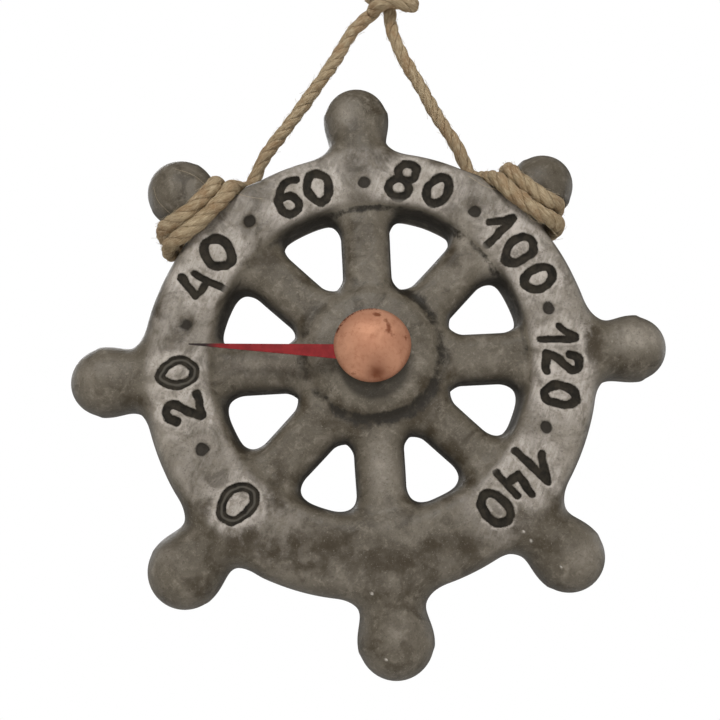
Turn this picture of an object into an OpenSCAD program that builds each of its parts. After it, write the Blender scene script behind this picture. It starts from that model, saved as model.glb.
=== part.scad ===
// Sauna thermometer: a hand-made ceramic ship's wheel with a bimetal pointer, hung on jute twine.
// Units are millimetres. +Z is up, the dial faces -Y, and the origin is where a hook bears in the
// hanging loop. The wheel is drawn lying flat, its dial towards +Z, and is then stood up and hung.

/* [Wheel rim] */
// Outer radius of the rim
rim_outer_r = 76.3; // [74:0.1:82]
// Inner radius of the rim, where the windows end
rim_inner_r = 50.5; // [47:0.5:53]
// Thickness of the rim from its back to its dial face
rim_t = 21; // [19:0.5:26]
// Rounding of the rim's edges
rim_edge_r = 6; // [3:0.5:8]

/* [Spokes and hub] */
// Width of a spoke
spoke_w = 16.5; // [14:0.5:18]
// Thickness of the spokes and of the disc they grow from
spoke_t = 15; // [12:0.5:17]
// Radius of the disc that the spokes grow from
web_r = 27.5; // [26:0.5:29]
// Rounding of a window's corners at the rim
window_outer_fillet = 5; // [3:0.5:6]
// Rounding of a window's corners at the hub
window_inner_fillet = 3; // [2:0.25:3]
// Radius of the raised pad under the copper cap
hub_pad_r = 21.2; // [20:0.2:22]
// How far the pad's front stands proud of the spokes
hub_pad_h = 3.5; // [2:0.5:5]
// How far the pad and the pointer's axis sit above the middle of the rim
hub_lift = 4; // [0:0.5:5]
// Radius of the hub's boss at the back
hub_back_r = 18; // [15:0.5:20]

/* [Knobs] */
// Distance from the rim to the middle of a knob's ball
knob_reach = 13.4; // [12:0.1:15]
// Radius of a knob's ball
knob_r = 10.8; // [9.5:0.1:11.5]
// Radius of the neck between ball and rim
neck_r = 9.2; // [8:0.1:9.5]
// Half the width of the neck's root where it leaves the rim
neck_root_r = 12; // [10:0.1:13]

/* [Pointer movement] */
// Radius of the threaded stud
stud_r = 2; // [1.5:0.25:2.5]
// Radial room between the stud and the hole through the clay
stud_room = 0.2; // [0.1:0.05:0.5]
// Radius of the pocket for the nut in the hub's back
pocket_r = 8; // [7.5:0.5:10]
// Depth of that pocket
pocket_h = 6.5; // [6:0.5:8]
// Radius of the stud's collar, which clamps on the front washer
collar_r = 4.2; // [3.5:0.1:5]
// Thickness of that collar
collar_h = 0.9; // [0.6:0.1:1.5]
// Radius of the journal that the pointer turns on
journal_r = 1.25; // [1:0.05:1.4]
// Radial room of the pointer's bush on its journal
journal_room = 0.05; // [0.02:0.01:0.1]
// Thickness of the fibre washers
fibre_t = 0.5; // [0.3:0.1:1]
// Thickness of the metal washer at the back
washer_t = 0.8; // [0.5:0.1:1]
// Thickness of the nut
nut_t = 3; // [2.5:0.1:3.5]
// Width of the nut across its flats
nut_w = 7; // [6.5:0.5:8]

/* [Bimetal coil] */
// Width of the bimetal strip
strip_w = 2.2; // [1.5:0.1:3]
// Thickness of the bimetal strip
strip_t = 0.4; // [0.3:0.05:0.6]
// Radius of the coil's innermost turn
coil_in_r = 2.9; // [2.7:0.1:3.2]
// Radius of the coil's outer end
coil_out_r = 9; // [8:0.1:9.2]
// Turns of the coil
coil_turns = 4.5; // [3.5:0.5:5.5]
// Width of the pointer's tab, which the coil's outer end pushes
tab_w = 2.4; // [1.5:0.1:3]
// Gap between the coil's outer end and that tab
tab_gap = 0.25; // [0.1:0.05:0.4]

/* [Pointer] */
// Length of the pointer from its axis to its tip
pointer_l = 59.2; // [50:0.1:62]
// Width of the pointer under the cap's edge
pointer_w = 4.7; // [3:0.1:6]
// Width of the pointer at its tip
pointer_tip_w = 0.4; // [0.2:0.1:1]
// Thickness of the pointer's sheet
pointer_t = 0.5; // [0.3:0.1:0.8]
// Radius of the eye round the pointer's bush
pointer_eye_r = 4.6; // [4:0.1:5.5]
// Outer radius of the pointer's bush
bush_r = 2.6; // [2:0.1:3]
// Length of the pointer's bush
bush_l = 1.9; // [1.5:0.1:2.5]

/* [Copper cap] */
// Radius of the cap at its rim
cap_r = 12.3; // [11:0.05:13]
// Height of the cap's dome
cap_h = 5; // [4:0.1:6]
// Thickness of the cap's copper sheet
cap_t = 0.6; // [0.4:0.1:1]
// Room between the pointer's face and the cap's rim
cap_room = 0.4; // [0.3:0.1:1]
// Outer radius of the socket inside the cap
socket_r = 2.6; // [2:0.1:3.5]

/* [Dial] */
// Temperature shown at rest, in degrees Celsius
rest_temperature = 25; // [0:1:140]
// Turn of the pointer for each degree Celsius, in degrees
dial_rate = 1.92; // [1.5:0.01:1.95]
// Where zero lies on the wheel, anticlockwise from its right-hand spoke, in degrees
dial_zero = 224.7; // [215:0.1:230]

/* [Twine] */
// Diameter of the jute twine
twine_d = 4.8; // [3.5:0.1:5]
// How far the twine lies behind the middle of the wheel
twine_back = 6; // [4:0.5:8]
// Least gap between neighbouring turns of a wrap
wrap_gap = 0.8; // [0.8:0.1:1.5]
// Room between a wrap and the neck it is wound on
wrap_room = 0.3; // [0.2:0.05:1]
// How square a wrap's turns are, since a neck's root is as flat as the rim: 1 is an oval
wrap_square = 0.7; // [0.65:0.05:0.8]
// Room between the first turn of a wrap and the rim
wrap_rim_room = 0.9; // [0.6:0.1:1.5]
// How far a wrap's turns lie in over the rim's face at the front
wrap_dip = 4.5; // [0:0.5:5]
// Room between a leg's foot and the rim
foot_room = 1.6; // [1:0.1:3]
// Turns round the left knob's neck
left_turns = 1.8; // [1.5:0.05:1.9]
// Turns round the right knob's neck
right_turns = 1.75; // [1.5:0.05:1.9]
// How far the hung wheel leans anticlockwise, in degrees
hang_tilt = 3; // [0:0.5:6]

/* [Hidden] */
$fn = 64;
eps = 0.01;

// Where the wheel's middle lies seen from the hook, across, back and up
hook_from_wheel = [5, twine_back, 170];
spokes = 8;
spoke_step = 360 / spokes;
left_knob_angle = 135;
right_knob_angle = 45;
corner_steps = 5;
knob_u = rim_outer_r + knob_reach;
root_h = 8;

// Heights along the pointer's axis, measured forwards from the middle of the wheel's thickness
back_z = -rim_t / 2;
pocket_z = back_z + pocket_h;
hub_front_z = spoke_t / 2 + hub_pad_h;
collar_z = hub_front_z + fibre_t;
slot_z = collar_z + collar_h;
running_room = 0.2;
coil_z = slot_z + running_room;
journal_z = coil_z + strip_w + running_room;
bush_z = journal_z + running_room;
blade_z = bush_z + running_room;
socket_z = bush_z + bush_l + running_room;
cap_z = blade_z + pointer_t + cap_room;
cap_sphere_r = (cap_r * cap_r + cap_h * cap_h) / (2 * cap_h);
cap_centre_z = cap_z + cap_h - cap_sphere_r;
cap_inner_z = cap_z + cap_h - cap_t;
stud_tip_z = cap_inner_z - 0.8;
stud_back_z = pocket_z - fibre_t - washer_t - nut_t - 1.2;
slot_w = strip_t + 0.1;
slot_margin = running_room / 2;
driver_slot_w = 0.8;
driver_slot_h = 0.8;
washer_out_r = 6;
washer_room = stud_room;
nut_corner_r = nut_w / 2 / cos(30);
pointer_angle = dial_zero - dial_rate * rest_temperature;

// The twine's own measures
twine_r = twine_d / 2;
wrap_sides = 6;
wrap_rings = 24;
leg_sides = 8;
body_gap = 0.6;
wrap_pitch = twine_d + wrap_gap;
wrap_root_half = neck_root_r + twine_r + wrap_room;
wrap_tip_half = knob_r + twine_r + wrap_room;
wrap_depth_half = max(rim_t / 2, knob_r) + twine_r + wrap_room;
wrap_start_u = sqrt(pow(rim_outer_r + twine_r + wrap_rim_room, 2) - pow(wrap_root_half, 2));
// Where a leg meets its wrap, in the knob's own frame: across, back and outwards
foot_angle = 14.7;
foot_reach = rim_outer_r + twine_r + foot_room;
leg_foot = [foot_reach * sin(foot_angle), twine_back, foot_reach * cos(foot_angle)];
wrap_start = -20;

// The legs' routes above their feet and the loop's route, hung, from the wheel's middle: across, up
left_route = [[-38, 77.5], [-29.4, 90], [-21.4, 102], [-13.1, 115], [-6.6, 126.5], [1.5, 134.5]];
right_route = [[30.5, 82], [23.6, 93.5], [18, 104.5], [11.8, 116], [7.7, 127], [6.8, 136]];
loop_route = [[4, 142], [1, 150], [-1.5, 157], [-1.5, 164], [1, 169.5], [5, 172.4],
    [9, 169.5], [11.5, 164], [11.5, 157], [9, 150], [7, 142]];
knot_lobes = [[3.2, 137], [12, 137.8], [7, 142]];
knot_lobe_r = 4.4;

clay = "#8a8278";
copper = "#cd8c6e";
brass = "#b59a5c";
red = "#961e23";
jute = "#a5946f";

function unit(v) = v / norm(v);
function arc_points(centre, r, from, to, steps) =
    [for (i = [0:steps]) centre + r * [cos(from + (to - from) * i / steps), sin(from + (to - from) * i / steps)]];

// Stands the flat wheel up, leans it and hangs it under the hook
module hung() {
    translate(-hook_from_wheel) rotate([0, -hang_tilt, 0]) rotate([90, 0, 0]) children();
}

// Puts a thing on the pointer's axis of the flat wheel
module on_axis(z = 0) {
    translate([0, hub_lift, z]) children();
}

// Rim

function rim_section() = let (
        mid_r = (rim_outer_r + rim_inner_r) / 2,
        half_w = (rim_outer_r - rim_inner_r) / 2 - rim_edge_r,
        half_h = rim_t / 2 - rim_edge_r
    )
    [for (corner = [[1, 1, 0], [-1, 1, 90], [-1, -1, 180], [1, -1, 270]])
        each arc_points([mid_r + corner[0] * half_w, corner[1] * half_h], rim_edge_r,
            corner[2], corner[2] + 90, corner_steps)];

module rim() {
    rotate_extrude($fn = 96) polygon(rim_section());
}

// Disc, spokes and windows

// Half of a window's outline, between a spoke along X and the middle of the window. A fillet is
// limited so that the two in its end of the window still fit side by side.
function window_half() = let (
        half_spoke = spoke_w / 2,
        most = sin(spoke_step / 2 - 0.4),
        inner_fillet = min(window_inner_fillet, (web_r * most - half_spoke) / (1 - most)),
        outer_fillet = min(window_outer_fillet, (rim_inner_r * most - half_spoke) / (1 + most)),
        inner_y = half_spoke + inner_fillet,
        inner_reach = web_r + inner_fillet,
        inner_angle = asin(inner_y / inner_reach),
        outer_y = half_spoke + outer_fillet,
        outer_reach = rim_inner_r - outer_fillet,
        outer_angle = asin(outer_y / outer_reach),
        middle = spoke_step / 2
    )
    concat(
        arc_points([inner_reach * cos(inner_angle), inner_y], inner_fillet,
            inner_angle + 180, 270, corner_steps),
        arc_points([outer_reach * cos(outer_angle), outer_y], outer_fillet,
            -90, outer_angle, corner_steps),
        arc_points([0, 0], rim_inner_r, (outer_angle + middle) / 2, middle, 1));

function mirrored(points) = let (c = cos(spoke_step), s = sin(spoke_step), last = len(points) - 1)
    [for (i = [0:last]) let (p = points[last - i]) [c * p[0] + s * p[1], s * p[0] - c * p[1]]];

module window() {
    half = window_half();
    polygon(concat(half, [for (i = [1:len(half) - 1]) mirrored(half)[i]]));
}

module web() {
    translate([0, 0, -spoke_t / 2]) linear_extrude(spoke_t) difference() {
        circle(r = rim_inner_r + rim_edge_r);
        for (i = [0:spokes - 1]) rotate(i * spoke_step) window();
    }
}

// Hub

module hub() {
    on_axis() rotate_extrude() polygon([
        [0, back_z], [hub_back_r, back_z], [hub_back_r + 2, -spoke_t / 2 + 1],
        [hub_pad_r + 1, spoke_t / 2 - 1], [hub_pad_r, hub_front_z - 1], [hub_pad_r - 1, hub_front_z],
        [0, hub_front_z]]);
}

// Knobs

module knob() {
    rotate([0, 90, 0]) {
        cylinder(r = neck_r, h = knob_u);
        translate([0, 0, knob_u]) sphere(r = knob_r);
    }
    // Root that widens into the rim, no thicker than the rim is
    flare = (neck_root_r - neck_r) / root_h;
    intersection() {
        rotate([0, 90, 0]) translate([0, 0, rim_outer_r - rim_edge_r])
            cylinder(r1 = neck_root_r + flare * rim_edge_r, r2 = neck_r, h = rim_edge_r + root_h);
        translate([0, -rim_outer_r, -rim_t / 2]) cube([2 * rim_outer_r, 2 * rim_outer_r, rim_t]);
    }
}

module knobs() {
    difference() {
        for (i = [0:spokes - 1]) rotate(i * spoke_step) knob();
        cylinder(r = (rim_inner_r + rim_outer_r) / 2, h = 4 * rim_t, center = true);
    }
}

module ceramic_wheel() {
    color(clay) hung() difference() {
        union() {
            rim();
            web();
            hub();
            knobs();
        }
        on_axis(pocket_z - eps) cylinder(r = stud_r + stud_room, h = hub_front_z - pocket_z + 1);
        on_axis(back_z - 1) cylinder(r = pocket_r, h = pocket_h + 1);
    }
}

// Pointer movement

module washer(out_r, hole_r, thickness) {
    difference() {
        cylinder(r = out_r, h = thickness);
        translate([0, 0, -1]) cylinder(r = hole_r, h = thickness + 2);
    }
}

module front_fibre_washer() {
    color("#7a4a30") hung() on_axis(hub_front_z) washer(washer_out_r, stud_r + washer_room, fibre_t);
}

module rear_fibre_washer() {
    color("#7a4a30") hung() on_axis(pocket_z - fibre_t)
        washer(washer_out_r, stud_r + washer_room, fibre_t);
}

module rear_washer() {
    color(brass) hung() on_axis(pocket_z - fibre_t - washer_t)
        washer(washer_out_r, stud_r + washer_room, washer_t);
}

module fixing_nut() {
    color(brass) hung() on_axis(pocket_z - fibre_t - washer_t - nut_t) difference() {
        cylinder(r = nut_corner_r, h = nut_t, $fn = 6);
        translate([0, 0, -1]) cylinder(r = stud_r, h = nut_t + 2);
    }
}

module centre_stud() {
    color(brass) hung() on_axis() difference() {
        union() {
            translate([0, 0, stud_back_z]) cylinder(r = stud_r, h = journal_z - stud_back_z);
            translate([0, 0, collar_z]) cylinder(r = collar_r, h = collar_h);
            translate([0, 0, journal_z - eps]) cylinder(r = journal_r, h = stud_tip_z - journal_z + eps);
        }
        // Slot that holds the coil's inner end
        rotate(coil_start_angle) translate([-stud_r - 1, -slot_w / 2, slot_z + slot_margin])
            cube([2 * stud_r + 2, slot_w, journal_z - slot_z - 2 * slot_margin]);
        // Slot for a screwdriver, which sets the pointer to zero
        translate([-stud_r - 1, -driver_slot_w / 2, stud_back_z - 1])
            cube([2 * stud_r + 2, driver_slot_w, driver_slot_h + 1]);
    }
}

// The coil's middle line, from its innermost turn to its outer end beside the pointer's tab
coil_steps_per_turn = 24;
coil_steps = coil_steps_per_turn * coil_turns;
coil_pitch = (coil_out_r - coil_in_r) / coil_turns;
coil_end_angle = pointer_angle;
coil_start_angle = coil_end_angle - 360 * coil_turns;

function coil_point(i, side) = let (
        r = coil_in_r + (coil_out_r - coil_in_r) * i / coil_steps + side * strip_t / 2,
        a = coil_start_angle + 360 * i / coil_steps_per_turn
    )
    [r * cos(a), r * sin(a)];

echo(str("bimetal coil, least gap between turns: ", coil_pitch - strip_t));

module bimetal_coil() {
    color("#9aa0a0") hung() on_axis(coil_z) {
        linear_extrude(strip_w) polygon(concat([for (i = [0:coil_steps]) coil_point(i, -1)],
            [for (i = [0:coil_steps]) coil_point(coil_steps - i, 1)]));
        // Inner end, which crosses the stud in its slot
        rotate(coil_start_angle) translate([-stud_r, -strip_t / 2, 0])
            cube([coil_in_r + stud_r, strip_t, strip_w]);
    }
}

module pointer_bush() {
    color(brass) hung() on_axis(bush_z) difference() {
        union() {
            cylinder(r = bush_r, h = bush_l);
            cylinder(r = bush_r + 0.8, h = blade_z - bush_z);
        }
        translate([0, 0, -1]) cylinder(r = journal_r + journal_room, h = bush_l + 2);
    }
}

module pointer_blade() {
    tip_half = pointer_tip_w / 2;
    root = 0.75 * cap_r;
    color(red) hung() on_axis() rotate(pointer_angle) difference() {
        union() {
            translate([0, 0, blade_z]) linear_extrude(pointer_t) {
                circle(r = pointer_eye_r);
                polygon([[0, -tip_half], [pointer_l, -tip_half], [pointer_l, tip_half],
                    [root, pointer_w], [0, pointer_w]]);
            }
            // Tab bent back to the coil's outer end
            translate([coil_out_r + strip_t / 2 + tab_gap, 0, coil_z + running_room])
                cube([pointer_t, tab_w, blade_z - coil_z]);
        }
        translate([0, 0, blade_z - 1]) cylinder(r = bush_r, h = pointer_t + 2);
    }
}

module cap_socket() {
    color(brass) hung() on_axis() difference() {
        intersection() {
            translate([0, 0, socket_z]) cylinder(r = socket_r, h = cap_h);
            translate([0, 0, cap_centre_z]) sphere(r = cap_sphere_r - cap_t, $fn = 96);
        }
        translate([0, 0, socket_z - 1]) cylinder(r = journal_r, h = stud_tip_z - socket_z + 1.2);
    }
}

module copper_cap() {
    color(copper) hung() on_axis() difference() {
        translate([0, 0, cap_centre_z]) sphere(r = cap_sphere_r, $fn = 96);
        translate([0, 0, cap_centre_z]) sphere(r = cap_sphere_r - cap_t, $fn = 96);
        translate([0, 0, cap_z - 2 * cap_sphere_r]) cylinder(r = 2 * cap_sphere_r, h = 2 * cap_sphere_r);
    }
}

// Twine

// Skin of a tube that follows a path, as triangles; each ring's first point lies towards its guide
function along(path, i) = unit(path[min(i + 1, len(path) - 1)] - path[max(i - 1, 0)]);
function ring(p, t, guide, r, sides) = let (
        side = unit(guide - (guide * t) * t),
        other = cross(t, side)
    )
    [for (k = [0:sides - 1]) p + r * (cos(360 * k / sides) * side + sin(360 * k / sides) * other)];
function tube_points(path, guides, r, sides) =
    [for (i = [0:len(path) - 1]) each ring(path[i], along(path, i), guides[i], r, sides)];
function tube_faces(rings, sides) = concat(
    [for (k = [1:sides - 2]) [0, k, k + 1]],
    [for (i = [0:rings - 2], k = [0:sides - 1]) [i * sides + k, (i + 1) * sides + k, (i + 1) * sides + (k + 1) % sides]],
    [for (i = [0:rings - 2], k = [0:sides - 1]) [i * sides + k, (i + 1) * sides + (k + 1) % sides, i * sides + (k + 1) % sides]],
    [for (k = [1:sides - 2]) [(rings - 1) * sides, (rings - 1) * sides + k + 1, (rings - 1) * sides + k]]);

module tube(path, guides, r, sides) {
    polyhedron(tube_points(path, guides, r, sides), tube_faces(len(path), sides), convexity = 8);
}

// A wrap's middle line in its knob's frame: across towards the top knob, back, and outwards.
// It starts at the leg's foot, goes to the front first and climbs as it winds; at the front its
// turns lie in over the rim's face.
function wrap_half(climb) = wrap_root_half
    + (wrap_tip_half - wrap_root_half) * min(1, climb / (1.2 * wrap_pitch));
function squared(v) = sign(v) * pow(abs(v), wrap_square);
function wrap_point(turn) = let (
        a = wrap_start - 360 * turn,
        climb = wrap_pitch * turn,
        forward = max(0, -squared(sin(a)))
    )
    [wrap_half(climb) * squared(cos(a)), wrap_depth_half * squared(sin(a)),
        wrap_start_u + climb - wrap_dip * pow(forward, 3)];
function wrap_path(turns) = let (
        run = unit(wrap_point(0) - leg_foot),
        steps = round(wrap_rings * turns)
    )
    concat(
        [leg_foot + (twine_r + body_gap) * run, leg_foot + (twine_r + body_gap + twine_d) * run],
        [for (i = [1:steps]) wrap_point(i / wrap_rings)]);
function wrap_guides(path) = [for (p = path) [p[0], p[1], 0]];

// Least gap between parts of the path that lie more than half a turn apart
function least_gap(path) = min([for (i = [0:len(path) - 1], j = [i + wrap_rings / 2:1:len(path) - 1])
    norm(path[i] - path[j])]) - twine_d;

// From a knob's frame to the flat wheel's, for a knob at the given angle; side is the way to the top
function to_flat(p, angle, side) = let (across = [-sin(angle) * side, cos(angle) * side],
        out = [cos(angle), sin(angle)])
    [p[0] * across[0] + p[2] * out[0], p[0] * across[1] + p[2] * out[1], -p[1]];

module wrap(angle, side, turns) {
    path = wrap_path(turns);
    guides = wrap_guides(path);
    tube([for (p = path) to_flat(p, angle, side)], [for (g = guides) to_flat(g, angle, side)],
        twine_r, wrap_sides);
    echo(str("wrap of ", turns, " turns, least gap to itself: ", least_gap(path)));
}

module left_wrap() {
    color(jute) hung() wrap(left_knob_angle, -1, left_turns);
}

module right_wrap() {
    color(jute) hung() wrap(right_knob_angle, 1, right_turns);
}

// A leg's foot, hung, from the wheel's middle
function foot(angle, side) = let (f = to_flat(leg_foot, angle, side))
    [f[0] * cos(hang_tilt) - f[1] * sin(hang_tilt), f[0] * sin(hang_tilt) + f[1] * cos(hang_tilt)];
function hung_point(p) = [p[0], twine_back, p[1]] - hook_from_wheel;

module twine_run(route) {
    path = [for (p = route) hung_point(p)];
    tube(path, [for (p = path) [0, 1, 0]], twine_r, leg_sides);
}

module leg(angle, side, route) {
    start = foot(angle, side);
    color(jute) {
        twine_run(concat([start], route));
        translate(hung_point(start)) sphere(r = twine_r, $fn = 24);
    }
}

module left_leg() {
    leg(left_knob_angle, -1, left_route);
}

module right_leg() {
    leg(right_knob_angle, 1, right_route);
}

module top_knot() {
    color(jute) hull() for (p = knot_lobes) translate(hung_point(p)) sphere(r = knot_lobe_r, $fn = 24);
}

module hanging_loop() {
    color(jute) twine_run(loop_route);
}

ceramic_wheel();
front_fibre_washer();
centre_stud();
rear_fibre_washer();
rear_washer();
fixing_nut();
bimetal_coil();
cap_socket();
copper_cap();
pointer_bush();
pointer_blade();
left_wrap();
right_wrap();
left_leg();
right_leg();
top_knot();
hanging_loop();
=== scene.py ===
import itertools
import math

import bpy
import numpy as np
import openvdb
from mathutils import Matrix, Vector


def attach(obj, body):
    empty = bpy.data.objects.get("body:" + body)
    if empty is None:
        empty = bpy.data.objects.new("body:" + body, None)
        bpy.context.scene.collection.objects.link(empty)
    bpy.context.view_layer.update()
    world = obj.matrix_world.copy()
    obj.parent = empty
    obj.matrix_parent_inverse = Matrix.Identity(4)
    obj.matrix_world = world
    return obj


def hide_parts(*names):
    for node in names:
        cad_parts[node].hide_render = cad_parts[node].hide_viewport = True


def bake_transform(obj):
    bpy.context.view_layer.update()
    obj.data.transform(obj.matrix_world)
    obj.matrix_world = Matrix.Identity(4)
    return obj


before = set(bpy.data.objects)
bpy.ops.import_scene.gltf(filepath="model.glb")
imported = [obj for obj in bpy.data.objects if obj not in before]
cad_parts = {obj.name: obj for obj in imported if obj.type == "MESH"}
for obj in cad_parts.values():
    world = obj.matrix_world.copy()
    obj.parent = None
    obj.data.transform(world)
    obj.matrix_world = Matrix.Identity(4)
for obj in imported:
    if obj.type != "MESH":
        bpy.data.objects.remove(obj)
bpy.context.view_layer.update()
scene = bpy.context.scene
scene.view_settings.view_transform = "Standard"

# Sizes of the object, in millimetres
MM = 0.001
HANG_TILT = math.radians(3)
HOOK = (5.0, 6.0, 170.0)
RIM_OUTER, RIM_INNER, RIM_HALF_T = 76.3, 50.5, 10.5
RIM_MID = (RIM_OUTER + RIM_INNER) / 2
SPOKE_HALF_W, SPOKE_HALF_T, WEB_R = 8.25, 7.5, 27.5
HUB_LIFT, PAD_R, PAD_Z, BACK_BOSS_R = 4.0, 21.2, 11.0, 18.0
STUD_HOLE_R, POCKET_R, POCKET_Z, POCKET_ROUND = 2.2, 8.0, -4.0, 0.3
CAP_R, CAP_H, CAP_T, CAP_Z = 12.3, 5.0, 0.6, 16.3
TWINE_R, TWINE_BACK = 2.4, 6.0
# Where the pointer's red ends and its dark tip begins, in metres from its axis
POINTER_DARK = (0.051, 0.0565)
# About a full turn in radians, for random directions
ABOUT_TURN = 6.28


def turned(x, y, a):
    """How far out places lie in a direction from the middle, and how far to its left."""
    return x * math.cos(a) + y * math.sin(a), -x * math.sin(a) + y * math.cos(a)


def hung(p):
    """Points of the flat wheel, in millimetres, taken to the part's frame, in metres."""
    p = np.asarray(p, float)
    x, z = turned(p[..., 0], p[..., 1], -HANG_TILT)
    return (np.stack([x, -p[..., 2], z], -1) - HOOK) * MM


def hung_plane(route):
    """A route given hung, across and up from the wheel's middle, at the twine's depth."""
    return (np.array([(across, TWINE_BACK, up) for across, up in route]) - HOOK) * MM


def aim(thing, place, target):
    thing.location = place
    thing.rotation_euler = (Vector(target) - Vector(place)).to_track_quat("-Z", "Y").to_euler()


# Camera, at the photograph's viewing angle
CAMERA_AT = (-0.0109, -0.3439, -0.2357)
CAMERA_TARGET = (-0.00909, -0.006, -0.16773)
PHOTO_SIDE = 720
camera_data = bpy.data.cameras.new("camera")
camera_data.lens = 51.09
camera_data.sensor_width = 36
camera_data.clip_start = 0.01
camera = bpy.data.objects.new("camera", camera_data)
scene.collection.objects.link(camera)
aim(camera, CAMERA_AT, CAMERA_TARGET)
scene.camera = camera


def on_dial(column, row):
    """The place on the rim's face, in the flat wheel's frame, that a pixel of the photograph shows."""
    middle = PHOTO_SIDE / 2
    reach = PHOTO_SIDE * camera_data.lens / camera_data.sensor_width
    way = camera.rotation_euler.to_matrix() @ Vector((column - middle, middle - row, -reach))
    face_y = -(RIM_HALF_T + HOOK[1]) * MM
    seen = camera.location + way * ((face_y - camera.location.y) / way.y)
    return turned(seen.x / MM + HOOK[0], seen.z / MM + HOOK[2], HANG_TILT)


# Mesh helpers

def new_piece(name, points, faces, material, body=None, smooth=True):
    mesh = bpy.data.meshes.new(name)
    mesh.from_pydata([tuple(p) for p in points], [], [tuple(int(i) for i in f) for f in faces])
    mesh.materials.append(material)
    mesh.polygons.foreach_set("use_smooth", [smooth] * len(mesh.polygons))
    mesh.update()
    piece = bpy.data.objects.new(name, mesh)
    scene.collection.objects.link(piece)
    if body:
        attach(piece, body)
    return piece


def write_attribute(piece, name, values):
    """A number, or a vector, for each point of a piece's mesh."""
    values = np.asarray(values, float)
    kind, field = ("FLOAT", "value") if values.ndim == 1 else ("FLOAT_VECTOR", "vector")
    attribute = piece.data.attributes.new(name, kind, "POINT")
    attribute.data.foreach_set(field, values.ravel())


def vectors_of(piece, what):
    """The place, co, or the normal of each point of a piece's mesh."""
    flat = np.empty(len(piece.data.vertices) * 3)
    piece.data.vertices.foreach_get(what, flat)
    return flat.reshape(-1, 3)


def run_of(path):
    """How far along a path each of its points lies."""
    return np.concatenate([[0], np.cumsum(np.linalg.norm(np.diff(path, axis=0), axis=1))])


def length_of(path):
    return float(run_of(path)[-1])


def resampled(curve, step):
    along = run_of(curve)
    at = np.linspace(0, along[-1], max(2, int(round(along[-1] / step)) + 1))
    return np.stack([np.interp(at, along, values) for values in curve.T], -1)


def smooth_path(points, step):
    """A Catmull-Rom curve through the points, resampled evenly."""
    p = np.asarray(points, float)
    p = np.vstack([2 * p[0] - p[1], p, 2 * p[-1] - p[-2]])
    t = np.linspace(0, 1, 12, endpoint=False)[:, None]
    curve = [0.5 * (2 * b + (c - a) * t + (2 * a - 5 * b + 4 * c - d) * t ** 2
                    + (3 * b - a - 3 * c + d) * t ** 3) for a, b, c, d in zip(p, p[1:], p[2:], p[3:])]
    return resampled(np.vstack(curve + [p[-2][None]]), step)


def ramp(value, low, high):
    """From 0 at the low value to 1 at the high one, smoothly."""
    t = np.clip((value - low) / (high - low), 0, 1)
    return t * t * (3 - 2 * t)


def frames_along(path):
    """Tangents and two normals that turn as little as they can along a path."""
    t = np.gradient(path, axis=0)
    t /= np.linalg.norm(t, axis=1)[:, None]
    start = np.cross(t[0], (0.31, 0.52, 0.79))
    n = [start / np.linalg.norm(start)]
    for k in range(1, len(path)):
        v = n[-1] - t[k] * np.dot(n[-1], t[k])
        n.append(v / np.linalg.norm(v))
    n = np.array(n)
    return t, n, np.cross(t, n)


# Material helpers

class Nodes:
    """A node tree under construction. Its methods return output sockets, apart from put and node."""

    def __init__(self, tree):
        self.tree = tree

    def put(self, node, inputs):
        for key, value in inputs.items():
            socket = node.inputs[key.replace("_", " ") if isinstance(key, str) else key]
            if isinstance(value, bpy.types.NodeSocket):
                self.tree.links.new(value, socket)
            else:
                socket.default_value = value

    def node(self, kind, inputs=(), **settings):
        node = self.tree.nodes.new(kind)
        for key, value in settings.items():
            setattr(node, key, value)
        self.put(node, dict(inputs))
        return node

    def own(self):
        """The piece's own coordinates, in metres."""
        return self.node("ShaderNodeTexCoord").outputs["Object"]

    def coordinates(self, stretch=(1, 1, 1), rotation=(0, 0, 0)):
        """The piece's own coordinates, in millimetres, turned and then stretched."""
        return self.mapped(self.own(), [s / MM for s in stretch], rotation)

    def mapped(self, vector, scale, rotation=(0, 0, 0)):
        if any(rotation):
            vector = self.node("ShaderNodeMapping", {"Vector": vector, "Rotation": rotation}).outputs[0]
        return self.node("ShaderNodeMapping", {"Vector": vector, "Scale": scale}).outputs[0]

    def distance_to(self, place):
        """How far the surface lies from a place in the piece's own coordinates, in metres."""
        inputs = {0: self.own(), 1: place}
        return self.node("ShaderNodeVectorMath", inputs, operation="DISTANCE").outputs["Value"]

    def attribute(self, name, output="Fac"):
        return self.node("ShaderNodeAttribute", attribute_name=name).outputs[output]

    def noise(self, vector, scale, detail=4.0, roughness=0.55, distortion=0.0):
        inputs = dict(Vector=vector, Scale=scale, Detail=detail, Roughness=roughness, Distortion=distortion)
        return self.node("ShaderNodeTexNoise", inputs).outputs[0]

    def between(self, value, low, high, to_low=0.0, to_high=1.0, curve="SMOOTHSTEP"):
        """to_low where a value is at its low level, to_high where it is at its high one."""
        inputs = dict(Value=value, From_Min=low, From_Max=high, To_Min=to_low, To_Max=to_high)
        return self.node("ShaderNodeMapRange", inputs, interpolation_type=curve).outputs[0]

    def math(self, what, a, b):
        return self.node("ShaderNodeMath", {0: a, 1: b}, operation=what).outputs[0]

    def add(self, a, b):
        return self.math("ADD", a, b)

    def times(self, a, b):
        return self.math("MULTIPLY", a, b)

    def higher(self, a, b):
        return self.math("MAXIMUM", a, b)

    def mix(self, amount, a, b):
        """Two colours mixed, each an output socket or its screen values."""
        a, b = [rgb(*c) if isinstance(c, tuple) else c for c in (a, b)]
        return self.node("ShaderNodeMix", {0: amount, 6: a, 7: b}, data_type="RGBA").outputs[2]

    def layered(self, tone, *layers):
        """A tone under layers: each its amount and its colour, or between's values for one and its colour."""
        for *amount, colour in layers:
            tone = self.mix(self.between(*amount) if amount[1:] else amount[0], tone, colour)
        return tone


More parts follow.
